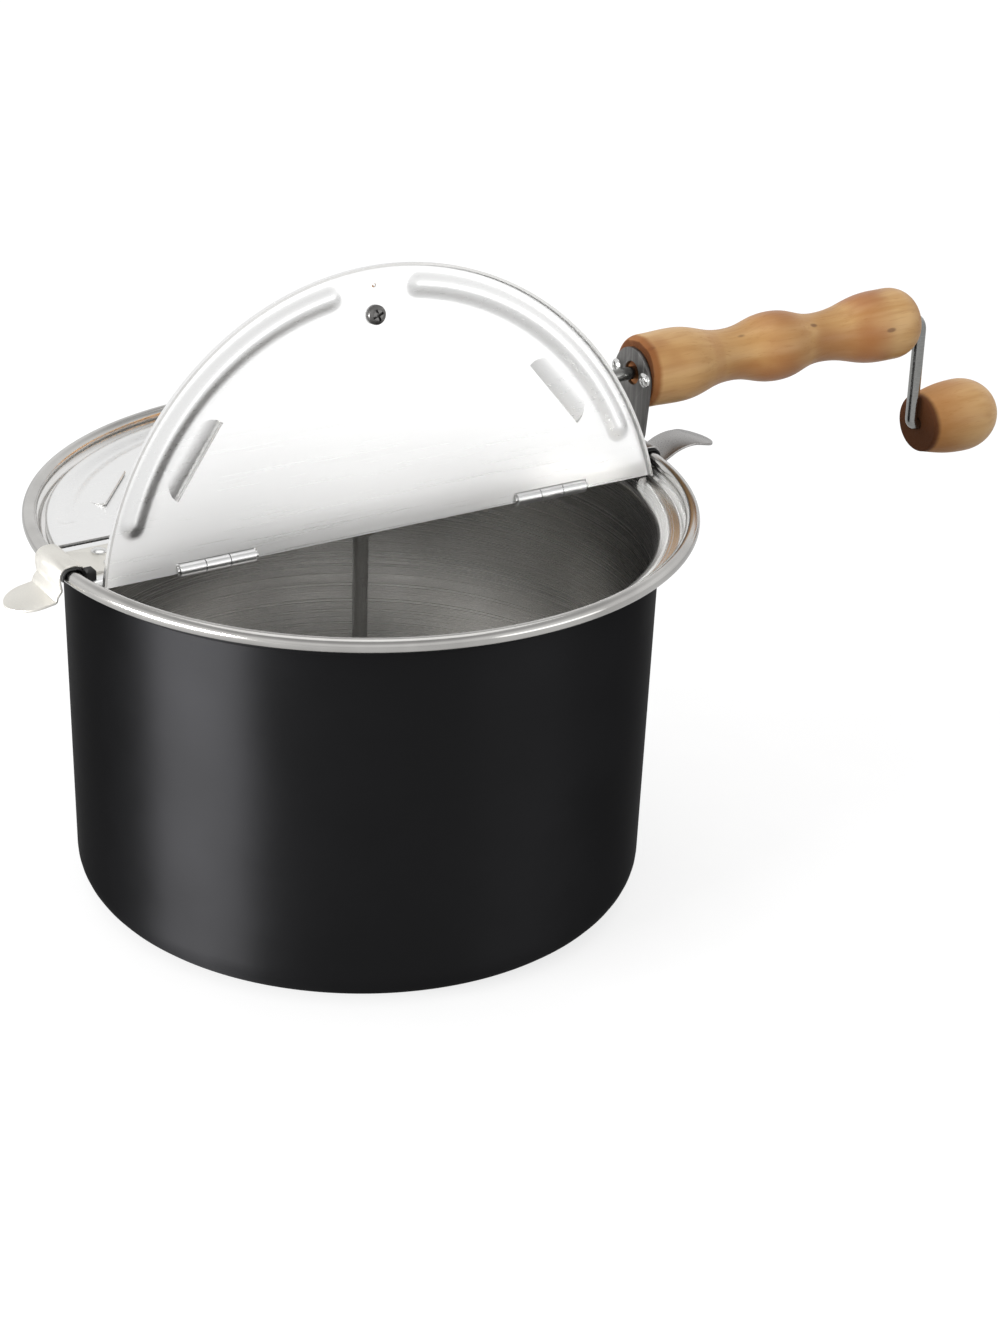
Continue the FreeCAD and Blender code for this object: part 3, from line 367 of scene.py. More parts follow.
@dataclass(frozen=True)
class TurnedWood:
    """Light lacquered wood: long figure, fine pores and small dark flecks, with darker cut ends."""

    pale: Colour = (0.69, 0.43, 0.19)
    body: Colour = (0.55, 0.295, 0.10)
    deep: Colour = (0.38, 0.16, 0.040)
    flush: Colour = (0.37, 0.135, 0.035)
    fleck: Colour = (0.17, 0.075, 0.025)
    grain: Axis = Axis.X
    shift: Point = (0.0, 0.0, 0.0)
    scorches: Tuple[Scorch, ...] = ()
    blushes: Tuple[Blush, ...] = ()
    roughness: float = 0.46
    lacquer: float = 0.22

    def _place(self, bench: Bench, along: float, across: float) -> Signal:
        """The wood's place, stretched to so many repeats per metre along the grain and across it."""
        return bench.stretched(tuple(along if one else across for one in self.grain.value), shift=self.shift)

    def make(self, bench: Bench) -> bpy.types.Material:
        """Make the finish.

        Args:
            bench: where its nodes go.

        Returns:
            The material.
        """
        broad = bench.noise(self._place(bench, 11.0, 70.0), 1.0, 3.0, 0.55, 0.6)
        figure = bench.noise(self._place(bench, 9.0, 330.0), 1.0, 4.0, 0.6, 0.4)
        pores = bench.noise(self._place(bench, 130.0, 1500.0), 1.0, 2.0)
        spots = bench.read("TexVoronoi", {"Vector": self._place(bench, 46.0, 110.0), "Scale": 1.0}, "Distance")
        clouds = bench.noise(self._place(bench, 26.0, 34.0), 1.0, 2.0, 0.5, 0.3)
        colour = bench.blend(bench.span(broad, 0.34, 0.66), self.body, self.pale)
        colour = bench.blend(bench.span(clouds, 0.47, 0.66, 0.0, 0.6), colour, self.flush)
        colour = bench.blend(bench.span(figure, 0.45, 0.8, 0.0, 0.4), colour, self.deep)
        colour = bench.blend(bench.span(pores, 0.58, 0.78, 0.0, 0.35), colour, self.deep)
        x = bench.parts(bench.place())[0] + (broad - 0.5) * 0.002
        for blush in self.blushes:
            away = x - blush.middle
            band = bench.span(away * away, blush.reach ** 2, 0.0, 0.0, blush.share)
            colour = bench.blend(band * bench.span(clouds, 0.3, 0.6, 0.3, 1.0), colour, self.flush)
        colour = bench.blend(bench.span(spots, 0.13, 0.06, 0.0, 0.75), colour, self.fleck)
        rough = bench.span(pores, 0.4, 0.8, self.roughness - 0.04, self.roughness + 0.12)
        lacquer: Value = self.lacquer
        for scorch in self.scorches:
            share = bench.span(x, scorch.start, scorch.full, 0.0, scorch.share)
            colour = bench.blend(share, colour, scorch.colour)
            lacquer = (1.0 - share) * lacquer
            rough = rough + share * 0.2
        normal = bench.relief(pores, 0.00005, 0.25, bench.relief(figure, 0.0001, 0.2))
        return bench.surface(colour, rough, 0.0, normal, Coat_Weight=lacquer, Coat_Roughness=0.25,
                             Specular_IOR_Level=0.3)


Finish = Union[BlackCoat, SpunMetal, SheetMetal, MattBlack, TurnedWood]


class Palette:
    """Every finish that the popper needs, each made when it is first asked for."""

    def __init__(self) -> None:
        """List the finishes."""
        orange: Colour = (0.26, 0.082, 0.018)
        burnt_end_and_shade: Colour = (0.090, 0.025, 0.005)
        russet: Colour = (0.42, 0.17, 0.038)
        grip = TurnedWood(scorches=(Scorch(0.1240, 0.1216, orange, 0.85), Scorch(0.1204, 0.1200, burnt_end_and_shade, 0.8),
                                    Scorch(0.2435, 0.2505, orange, 0.4)),
                          blushes=(Blush(0.1520, 0.0040, 0.3), Blush(0.1830, 0.0140, 0.7),
                                   Blush(0.2270, 0.0110, 0.7)))
        # The crank knob's inner end goes nearly black: dark end grain, and painted shade on top of it.
        knob = TurnedWood(shift=(0.05, 0.02, 0.03),
                          scorches=(Scorch(0.2880, 0.2650, russet, 0.7), Scorch(0.2655, 0.2628, burnt_end_and_shade, 0.95)))
        self.materials: Dict[str, bpy.types.Material] = {}
        self.finishes: Dict[str, Finish] = {
            "black_coat": BlackCoat(),
            "spun_aluminium": SpunMetal((0.88, 0.87, 0.855), (0.78, 0.77, 0.75)),
            # The rim's bead is darker than the spun metal inside: painted shade standing in for the dark reflections
            # on it.
            "rim_metal_painted_shade": SpunMetal((0.62, 0.61, 0.59), (0.47, 0.46, 0.445), 0.16, 900.0, 0.00001),
            "pressed_aluminium": SheetMetal((0.95, 0.95, 0.945), (0.935, 0.935, 0.93), 0.31, line_strength=0.08),
            "sheared_edge": SheetMetal((0.80, 0.795, 0.78), (0.62, 0.615, 0.60), 0.42, Axis.Z, 1200.0),
            "bright_steel": SheetMetal((0.80, 0.80, 0.79), (0.66, 0.66, 0.65), 0.16, lines_per_metre=2600.0),
            # The crank rod's steel is darker than the other steel: painted shade standing in for the dark reflections
            # on it.
            "rod_steel_painted_shade": SheetMetal((0.38, 0.38, 0.37), (0.28, 0.28, 0.27), 0.20, Axis.X, 2600.0),
            # The two clips are the same steel: the left one's finish is lightened as painted light, the right one's
            # darkened as painted shade.
            "clip_steel_painted_light": SheetMetal((0.88, 0.86, 0.80), (0.79, 0.77, 0.72), 0.40, Axis.Z, line_strength=0.25),
            "clip_steel_painted_shade": SheetMetal((0.44, 0.43, 0.42), (0.34, 0.33, 0.325), 0.30, Axis.Z),
            "bracket_steel": SheetMetal((0.56, 0.555, 0.54), (0.44, 0.435, 0.425), 0.30),
            "dark_steel": SheetMetal((0.21, 0.205, 0.20), (0.11, 0.108, 0.105), 0.40, Axis.Z, 900.0, 0.00003,
                                     0.6, 1.4),
            "dark_screw": SheetMetal((0.22, 0.215, 0.21), (0.12, 0.118, 0.115), 0.34, Axis.X, 1600.0),
            "gear_steel": SheetMetal((0.46, 0.46, 0.465), (0.33, 0.33, 0.33), 0.30, Axis.Y, 1400.0),
            "brass": SheetMetal((0.74, 0.55, 0.24), (0.58, 0.41, 0.16), 0.26, Axis.Z, 1500.0),
            "black_rubber": MattBlack(),
            "grip_wood": grip,
            "knob_wood": knob,
            "lid_knob_wood": TurnedWood(grain=Axis.Z, shift=(0.03, 0.01, 0.0)),
        }

    def __getitem__(self, name: str) -> bpy.types.Material:
        """The material of that name."""
        if name not in self.materials:
            self.materials[name] = self.finishes[name].make(Bench(bpy.data.materials.new(name)))
        return self.materials[name]


PALETTE = Palette()


# --- shaping
def turned(degrees: float, axis: Union[str, Vector]) -> Matrix:
    """A rotation about an axis through the origin."""
    return Matrix.Rotation(radians(degrees), 4, axis)


def moved(x: float, y: float, z: float) -> Matrix:
    """A move by so many millimetres."""
    return Matrix.Translation(Vector((x, y, z)) * MM)


def placed(name: str, data: bpy.types.ID) -> bpy.types.Object:
    """A new object in the scene, around its data."""
    made = bpy.data.objects.new(name, data)
    bpy.context.scene.collection.objects.link(made)
    return made


class Shaper:
    """A mesh being shaped, with the operations that several pieces share. Sizes go in as millimetres."""

    def __init__(self, node: Optional[str] = None) -> None:
        """Start with nothing or with a mesh of the frame, its doubled points merged.

        Args:
            node: the frame's node.
        """
        self.bm = bmesh.new()
        if node:
            self.bm.from_mesh(frame["nodes"][node].data)
            bmesh.ops.remove_doubles(self.bm, verts=self.bm.verts, dist=2e-6)

    def everything(self) -> List[Any]:
        """All vertices, edges and faces."""
        return [*self.bm.verts, *self.bm.edges, *self.bm.faces]

    def wire(self, corners: Sequence[Point], segments: int = 6) -> None:
        """Draw a section in the XZ plane and round its corners.

        Args:
            corners: (x, z, bend radius).
            segments: edges in each bend.
        """
        verts = [self.bm.verts.new((x * MM, 0.0, z * MM)) for x, z, _ in corners]
        for pair in zip(verts, verts[1:]):
            self.bm.edges.new(pair)
        for i, (_, _, radius) in enumerate(corners):
            if radius > 0.0:
                before, bend, after = [Vector((x, 0.0, z)) for x, z, _ in corners[i - 1:i + 2]]
                run = radius * MM / tan((before - bend).angle(after - bend) / 2)
                bmesh.ops.bevel(self.bm, geom=[verts[i]], offset=run, segments=segments, affect="VERTICES",
                                profile=0.5, material=-1)

    def spin(self, steps: int, turn: float = 360.0) -> None:
        """Revolve the section about the Z axis, in so many steps, and close it on itself if the turn is full."""
        bmesh.ops.spin(self.bm, geom=self.everything(), axis=Vector(Axis.Z.value), angle=radians(turn),
                       steps=steps, use_merge=turn >= 360.0)
        self.close()

    def draw_out(self, length: float) -> None:
        """Turn a section from the XZ plane to the YZ plane and draw it out along X.

        Args:
            length: how far, half to each side.
        """
        self.transform(Matrix.Translation((-length * MM / 2, 0.0, 0.0)) @ turned(90.0, "Z"))
        drawn = bmesh.ops.extrude_edge_only(self.bm, edges=self.bm.edges)["geom"]
        bmesh.ops.translate(self.bm, vec=(length * MM, 0.0, 0.0),
                            verts=[part for part in drawn if isinstance(part, bmesh.types.BMVert)])
        self.close()

    def transform(self, matrix: Matrix) -> None:
        """Move the whole shape."""
        bmesh.ops.transform(self.bm, matrix=matrix, verts=self.bm.verts)

    def close(self) -> None:
        """Merge doubled points and turn all faces outwards."""
        bmesh.ops.remove_doubles(self.bm, verts=self.bm.verts, dist=1e-6)
        bmesh.ops.recalc_face_normals(self.bm, faces=self.bm.faces)

    def scribe(self, outline: Sequence[Vector], reach: float) -> List[Any]:
        """Cut a convex outline into a level sheet, as seen from above.

        Args:
            outline: the corners, anticlockwise.
            reach: how far from the outline's middle the sheet's faces may be cut.

        Returns:
            The faces inside the outline.
        """
        middle = sum(outline, Vector()) / len(outline)
        sides = [(a, Vector((b.y - a.y, a.x - b.x, 0.0)).normalized())
                 for a, b in zip(outline, [*outline[1:], outline[0]])]
        for corner, outward in sides:
            faces = [face for face in self.bm.faces if (face.calc_center_median() - middle).length < reach * MM]
            around = {part for face in faces for part in (*face.verts, *face.edges, face)}
            bmesh.ops.bisect_plane(self.bm, geom=list(around), plane_co=corner, plane_no=outward, dist=TOUCH)
        return [face for face in self.bm.faces
                if all((face.calc_center_median() - corner).dot(outward) < 0.0 for corner, outward in sides)]

    def lance(self, outline: Sequence[Vector], reach: float, fold: int, slope: float, width: float) -> None:
        """Cut a flap free round its outline and curve it up from one side.

        Args:
            outline: the corners, anticlockwise.
            reach: as for scribe.
            fold: which side of the outline stays joined, counted from its first corner.
            slope: how steeply the flap rises at its free side.
            width: how far the free side is from the fold.
        """
        flap = self.scribe(outline, reach)
        root, along = outline[fold], (outline[fold + 1] - outline[fold]).normalized()
        inside = set(flap)
        free = [edge for face in flap for edge in face.edges
                if any(other not in inside for other in edge.link_faces)
                and any((vert.co - root).cross(along).length > 1e-5 for vert in edge.verts)]
        bmesh.ops.split_edges(self.bm, edges=free)
        for vert in {vert for face in flap for vert in face.verts}:
            vert.co.z += slope * (vert.co - root).cross(along).length ** 2 / (2.0 * width * MM)

    def cut(self, tool: "Shaper") -> None:
        """Take another closed shape away from this one.

        Args:
            tool: the other shape, which is used up.
        """
        piece, cutter = self.piece("piece", []), tool.piece("cutter", [])
        carve = piece.modifiers.new("carve", "BOOLEAN")
        carve.object = cutter
        carve.solver = "EXACT"
        carved = bpy.data.meshes.new_from_object(piece.evaluated_get(bpy.context.evaluated_depsgraph_get()))
        self.bm = bmesh.new()
        self.bm.from_mesh(carved)
        for spent in (piece, cutter):
            bpy.data.objects.remove(spent)

    def absorb(self, other: "Shaper", places: Sequence[Matrix]) -> None:
        """Add copies of another shape.

        Args:
            other: the other shape, which is used up.
            places: where its copies go.
        """
        for place in places:
            copy = bpy.data.meshes.new("copy")
            other.bm.to_mesh(copy)
            copy.transform(place)
            self.bm.from_mesh(copy)
            bpy.data.meshes.remove(copy)
        other.bm.free()

    def piece(self, name: str, materials: Sequence[bpy.types.Material], sharp: float = 40.0) -> bpy.types.Object:
        """Turn the mesh into an object at the origin.

        Args:
            name: the object's name.
            materials: its material slots.
            sharp: degrees above which an edge stays sharp.

        Returns:
            The object.
        """
        mesh = bpy.data.meshes.new(name)
        self.bm.to_mesh(mesh)
        self.bm.free()
        for material in materials:
            mesh.materials.append(material)
        mesh.shade_smooth()
        mesh.set_sharp_from_angle(angle=radians(sharp))
        return placed(name, mesh)


def dress(finish: str, *nodes: str) -> None:
    """Give nodes of the frame a finish.

    Args:
        finish: its name in the palette.
        nodes: the nodes.
    """
    for node in nodes:
        mesh = frame["nodes"][node].data
        mesh.materials.clear()
        mesh.materials.append(PALETTE[finish])
        LOG.info("dressed %s", node)


def seat(made: bpy.types.Object, body: str, slot: str, *nodes: str) -> bpy.types.Object:
    """Put a new piece on its body and hide the nodes that it stands for.

    Args:
        made: the piece.
        body: the body that it rides on.
        slot: the record's material slot; not used.
        nodes: the nodes that it stands for.

    Returns:
        The piece.
    """
    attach(made, body)
    if nodes:
        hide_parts(*nodes)
    LOG.info("%s: %d faces", made.name, len(made.data.polygons))
    return made


def wall(made: bpy.types.Object, sheet: float, inside: int = 0, rim: int = 0) -> None:
    """Give an open sheet its thickness, half to each side.

    Args:
        made: the piece.
        sheet: its thickness.
        inside: the material slot of its inner side.
        rim: the material slot of its cut edges.
    """
    solid = made.modifiers.new("wall", "SOLIDIFY")
    solid.thickness = sheet * MM
    solid.offset = 0.0
    solid.use_even_offset = True
    solid.material_offset = inside
    solid.material_offset_rim = rim


def ease(made: bpy.types.Object, edge: float) -> None:
    """Take the sharpness off a piece's edges.

    Args:
        made: the piece.
        edge: width of the easing.
    """
    bevel = made.modifiers.new("edge", "BEVEL")
    bevel.width = edge * MM
    bevel.segments = 2
    bevel.limit_method = "ANGLE"
    bevel.angle_limit = radians(55.0)
    bevel.harden_normals = True


def eased_copy(node: str, body: str, finish: str, slot: str, edge: float, segments: int = 2) -> None:
    """Copy a node with its sharp edges eased, to stand in the node's place.

    Args:
        node: the frame's node.
        body: the body that it rides on.
        finish: the finish's name in the palette.
        slot: the record's material slot.
        edge: width of the easing.
        segments: faces across the easing.
    """
    shaper = Shaper(node)
    bm = shaper.bm
    bmesh.ops.dissolve_limit(bm, angle_limit=radians(1.0), verts=bm.verts, edges=bm.edges, delimit={"NORMAL"})
    sharp = [e for e in bm.edges if len(e.link_faces) == 2 and e.calc_face_angle(0.0) > radians(50.0)]
    bmesh.ops.bevel(bm, geom=sharp, offset=edge * MM, segments=segments, affect="EDGES", profile=0.5, material=-1,
                    clamp_overlap=True)
    for face in bm.faces:
        face.material_index = 0
    seat(shaper.piece(node + "_eased", [PALETTE[finish]], 35.0), body, slot, node)


def solids(node: str) -> List[Tuple[Vector, Vector]]:
    """Find the separate solids of a node.

    Args:
        node: the frame's node.

    Returns:
        The lowest and highest corner of each, in millimetres.
    """
    bm = Shaper(node).bm
    left = set(bm.verts)
    boxes = []
    while left:
        front = [left.pop()]
        places = []
        while front:
            vert = front.pop()
            places.append(vert.co / MM)
            fresh = {edge.other_vert(vert) for edge in vert.link_edges} & left
            left -= fresh
            front.extend(fresh)
        boxes.append((Vector(map(min, *places)), Vector(map(max, *places))))
    bm.free()
    return boxes


def joint(name: str) -> Dict[str, Any]:
    """The frame's joint of that name."""
    return next(one for one in frame["joints"] if one["name"] == name)


# --- small hardware
@dataclass(frozen=True)
class PanScrew:
    """A pan screw with a cross recess, standing on the origin with its head up. Millimetres."""

    head_radius: float
    head_height: float
    shank_radius: float
    shank_length: float
    recess_width: float = 0.26   # of the head's radius
    recess_reach: float = 0.62
    recess_depth: float = 0.6    # of the head's height
    recess_turn: float = 20.0
    steps: int = 48

    def shape(self) -> Shaper:
        """Turn the screw and sink its cross."""
        radius, height = self.head_radius, self.head_height
        screw = Shaper()
        screw.wire([(0.0, -self.shank_length, 0.0), (self.shank_radius, -self.shank_length, 0.0),
                    (self.shank_radius, 0.0, 0.0), (radius, 0.0, 0.0), (radius, 0.62 * height, 0.3 * height),
                    (0.55 * radius, height, 0.5 * height), (0.0, height, 0.0)], 5)
        screw.spin(self.steps)
        for turn in (0.0, 90.0):
            arm = Shaper()
            bmesh.ops.create_cube(arm.bm, size=2.0 * MM)
            arm.transform(turned(turn + self.recess_turn, "Z")
                          @ Matrix.Translation((0.0, 0.0, (1.5 - self.recess_depth) * height * MM))
                          @ Matrix.Diagonal((self.recess_reach * radius, self.recess_width * radius / 2,
                                             height / 2, 1.0)))
            screw.cut(arm)
        return screw


@dataclass(frozen=True)
class Rivet:
    """An upright rivet with a low crown on each end. Millimetres."""

    head_radius: float = 3.0
    head_height: float = 1.1
    shank_radius: float = 1.6
    steps: int = 40

    def shape(self, length: float) -> Shaper:
        """Turn a rivet about the origin.

        Args:
            length: over its heads.

        Returns:
            The rivet.
        """
        top, seat_z = length / 2, length / 2 - self.head_height
        rivet = Shaper()
        crown = [(self.head_radius, seat_z, 0.0), (0.97 * self.head_radius, top - 0.6 * self.head_height, 0.4),
                 (0.5 * self.head_radius, top, 2.4), (0.0, top, 0.0)]
        foot = [(x, -z, bend) for x, z, bend in reversed(crown)]
        rivet.wire([*foot, (self.shank_radius, -seat_z, 0.0), (self.shank_radius, seat_z, 0.0), *crown])
        rivet.spin(self.steps)
        return rivet


# --- sub-assemblies
@dataclass
class Pot:
    """The spun pot: coated outside, bare inside, with a rolled bead whose metal is darkened by painted shade.
    Millimetres.
    """

    height: float = RIM_TOP
    rim_radius: float = RIM_RADIUS
    wall: float = 1.5
    shoulder_overhang: float = 14.0
    wall_draft: float = 2.5
    corner: float = 15.0
    ledge_depth: float = 7.0
    ledge_bend: float = 1.8
    shoulder_bend: float = 3.0
    shoulder_rise: float = 2.5
    bead_radius: float = 2.7
    steps: int = 256

    def build(self) -> None:
        """Spin the shell and the bead."""
        self._shell()
        self._bead()

    def _shell(self) -> None:
        """The wall with its ledge, black outside and bright inside."""
        half = self.wall / 2
        side = self.rim_radius - self.shoulder_overhang - half
        ledge = self.height - self.ledge_depth - half
        bead = self.rim_radius - self.bead_radius
        shaper = Shaper()
        shaper.wire([(0.0, half, 0.0), (side - self.wall_draft, half, self.corner - half),
                     (side, ledge - self.shoulder_rise, self.shoulder_bend),
                     (side + half + self.shoulder_bend, ledge, self.shoulder_bend),
                     (bead - 2 * self.ledge_bend, ledge, self.ledge_bend),
                     (bead - 1.0, self.height - 1.3 * self.bead_radius, 0.0)], 10)
        shaper.spin(self.steps)
        pot = shaper.piece("pot_shell", [PALETTE["black_coat"], PALETTE["spun_aluminium"]])
        wall(pot, self.wall, inside=1)
        seat(pot, "pot", "black_finish", "pot")

    def _bead(self) -> None:
        """The bead rolled round the rim, in metal darkened by painted shade."""
        shaper = Shaper()
        bmesh.ops.create_circle(shaper.bm, segments=32, radius=self.bead_radius * MM)
        shaper.transform(moved(self.rim_radius - self.bead_radius, 0.0, self.height - self.bead_radius)
                         @ turned(90.0, "X"))
        shaper.spin(self.steps)
        seat(shaper.piece("pot_bead", [PALETTE["rim_metal_painted_shade"]]), "pot", "bright_aluminium")


@dataclass(frozen=True)
class Knuckle:
    """A hinge eye: a tongue of the sheet, set up level with the pin's top and curled round it. Millimetres."""

    sheet: float = 0.84
    curl: float = 1.62           # from the pin's middle to the sheet's
    root: float = 4.4            # from the pin's middle to where the tongue leaves its plate
    joggle: float = 0.5          # bend radius where it steps up
    edge: float = 0.08

    def fit(self, name: str, body: str, length: float, places: Sequence[Matrix]) -> None:
        """Put eyes on a body, all as one piece.

        Args:
            name: the piece's name.
            body: the body.
            length: of each eye.
            places: where the eyes go.
        """
        eyes = Shaper()
        eyes.absorb(self.shape(length), places)
        ease(seat(eyes.piece(name, [PALETTE["pressed_aluminium"]]), body, "bright_aluminium"), self.edge)

    def shape(self, length: float) -> Shaper:
        """Curl an eye about the X axis, with its tongue towards +Y.

        Args:
            length: along the axis.

        Returns:
            The eye.
        """
        curl = self.curl
        shaper = Shaper()
        shaper.wire([(self.root, 0.0, 0.0), (2.0 * curl, 0.0, self.joggle), (0.8 * curl, curl, self.joggle),
                     (-curl, curl, 0.95 * curl), (-curl, -curl, 0.95 * curl), (curl, -curl, 0.95 * curl),
                     (curl, 0.15 * curl, 0.0)])
        shaper.draw_out(length)
        bmesh.ops.solidify(shaper.bm, geom=shaper.bm.faces, thickness=self.sheet * MM)
        shaper.close()
        return shaper


@dataclass
class Leaf:
    """One half-round leaf of the lid with its knob and screw. It is shaped closed over +Y. Millimetres."""

    name: str
    sheet: float = 0.9
    radius: float = LID_RADIUS
    skirt_bend: float = 1.4
    straight_edge: float = -1.0  # from the hinge line
    hinge_room: Tuple[float, float] = (16.0, 2.6)    # along the hinge line, each way, and across
    rib_inset: float = 7.9
    rib_reach: float = 5.3       # from the rib's middle to where the sheet is level again
    rib_depth: float = 1.25
    rib_ends: Tuple[float, float] = (21.5, 80.5)     # degrees from the hinge line
    vent_inset: float = 19.8
    vent_bearing: float = 38.0
    vent_length: float = 32.0
    vent_width: float = 7.6
    vent_draft: float = 4.0
    vent_bulge: float = 1.3
    vent_slope: float = 0.36     # of the flap, at its free side
    pip_inset: float = 7.3
    pip_radius: float = 0.9
    screw_inset: float = 17.9
    screw: PanScrew = PanScrew(3.6, 2.2, 1.9, 9.0)
    knuckle: Knuckle = Knuckle()
    knuckle_length: float = 9.4
    edge: float = 0.14
    steps: int = 320

    def __post_init__(self) -> None:
        """Work out where the leaf stands from its hinge."""
        hinge = joint(self.name + "_leaf_hinge")
        pivot = Vector(hinge["pos_m"])
        self.hinge_y = abs(pivot.y) / MM
        self.level = pivot.z / MM
        swing = turned(-hinge["range_deg"][0], Vector(hinge["axis"]))
        facing = turned(180.0 if pivot.y < 0.0 else 0.0, "Z")
        self.standing = Matrix.Translation(pivot) @ swing @ Matrix.Translation(-pivot) @ facing
        self.body = f"lid_{self.name}_leaf"
        self.node = f"lid_{self.name}"
        self.shaper = Shaper()

    def build(self) -> None:
        """Press the sheet, curl its knuckles and add the screw and the knob."""
        self._disc()
        self._hinge_notches()
        for side in (-1.0, 1.0):
            self._vent(side)
        self._pip()
        self._press_ribs()
        self.shaper.transform(self.standing)
        sheet = self.shaper.piece(self.node + "_sheet", [PALETTE["pressed_aluminium"], PALETTE["sheared_edge"]], 60.0)
        seat(sheet, self.body, "bright_aluminium", self.node)
        wall(sheet, self.sheet, rim=1)
        ease(sheet, self.edge)
        self._knuckles()
        self._screw()
        dress("lid_knob_wood", self.node + "_knob")

    def _disc(self) -> None:
        """Half a disc with its edge turned down, trimmed along the hinge."""
        side = self.radius - self.sheet / 2
        rib = self.radius - self.rib_inset
        # the rings of faces stand closer where the ribs start
        inner = [18.0, 36.0, 54.0, 70.0, 80.0, 86.0, 90.0, *(92.0 + 0.75 * i for i in range(13))]
        pressed = [rib + self.rib_reach * i / 8 for i in range(-8, 9)]
        section = [(x, self.level, 0.0) for x in inner + pressed]
        self.shaper.wire([*section, (side, self.level, self.skirt_bend - self.sheet / 2), (side, SKIRT_BOTTOM, 0.0)])
        self.shaper.spin(self.steps, 180.0)
        bmesh.ops.bisect_plane(self.shaper.bm, geom=self.shaper.everything(), clear_inner=True, dist=TOUCH,
                               plane_co=(0.0, (self.hinge_y + self.straight_edge) * MM, 0.0),
                               plane_no=Vector(Axis.Y.value))
        self.shaper.close()

    def _hinge_notches(self) -> None:
        """Cut room for the hinges out of the straight edge."""
        along, across = self.hinge_room
        for x in HINGE_PLACES:
            corners = [(x - along, -across), (x + along, -across), (x + along, across), (x - along, across)]
            notch = [Vector((a, self.hinge_y + b, self.level)) * MM for a, b in corners]
            bmesh.ops.delete(self.shaper.bm, geom=self.shaper.scribe(notch, 2.0 * along), context="FACES")

    def _vent(self, side: float) -> None:
        """Lance a vent into one half of the leaf.

        Args:
            side: -1 or 1, for the half at that end of the X axis.
        """
        half, width = self.vent_length / 2, self.vent_width
        place = turned(side * (self.vent_bearing - 90.0), "Z") @ moved(0.0, self.radius - self.vent_inset, self.level)
        end = [(half - self.vent_draft * i / 5 + self.vent_bulge * sin(pi * i / 5), width * (i / 5 - 0.5))
               for i in range(6)]
        outline = [place @ Vector((x * MM, y * MM, 0.0)) for x, y in end]
        outline += [place @ Vector((-x * MM, y * MM, 0.0)) for x, y in reversed(end)]
        self.shaper.lance(outline, half + 3.0, 5, self.vent_slope, width)

    def _pip(self) -> None:
        """Punch the small hole near the edge."""
        middle = Vector((0.0, self.radius - self.pip_inset, self.level)) * MM
        ring = [middle + Matrix.Rotation(tau * i / 12, 3, "Z") @ Vector((self.pip_radius * MM, 0.0, 0.0))
                for i in range(12)]
        bmesh.ops.delete(self.shaper.bm, geom=self.shaper.scribe(ring, 3.0 * self.pip_radius), context="FACES")

    def _press_ribs(self) -> None:
        """Press the two arc ribs into the sheet with soft shoulders."""
        heart = (self.radius - self.rib_inset) * MM
        first, last = (radians(end) for end in self.rib_ends)
        for vert in self.shaper.bm.verts:
            bearing = min(max(atan2(vert.co.y, abs(vert.co.x)), first), last)
            ridge = Vector((copysign(cos(bearing), vert.co.x), sin(bearing))) * heart
            away = (vert.co.xy - ridge).length / (self.rib_reach * MM)
            if away < 1.0:
                vert.co.z -= self.rib_depth * MM * 0.5 * (1.0 + cos(pi * away))

    def _knuckles(self) -> None:
        """The eye in the middle of each hinge."""
        self.knuckle.fit(self.node + "_knuckles", self.body, self.knuckle_length,
                         [self.standing @ moved(x, self.hinge_y, self.level) for x in HINGE_PLACES])

    def _screw(self) -> None:
        """The screw that holds the knob, with its head on the leaf's underside."""
        screw = self.screw.shape()
        screw.transform(self.standing @ moved(0.0, self.radius - self.screw_inset, self.level - self.sheet / 2)
                        @ turned(180.0, "X"))
        seat(screw.piece(self.node + "_screw_turned", [PALETTE["dark_screw"]], 30.0), self.body, "bright_steel",
             self.node + "_screw")


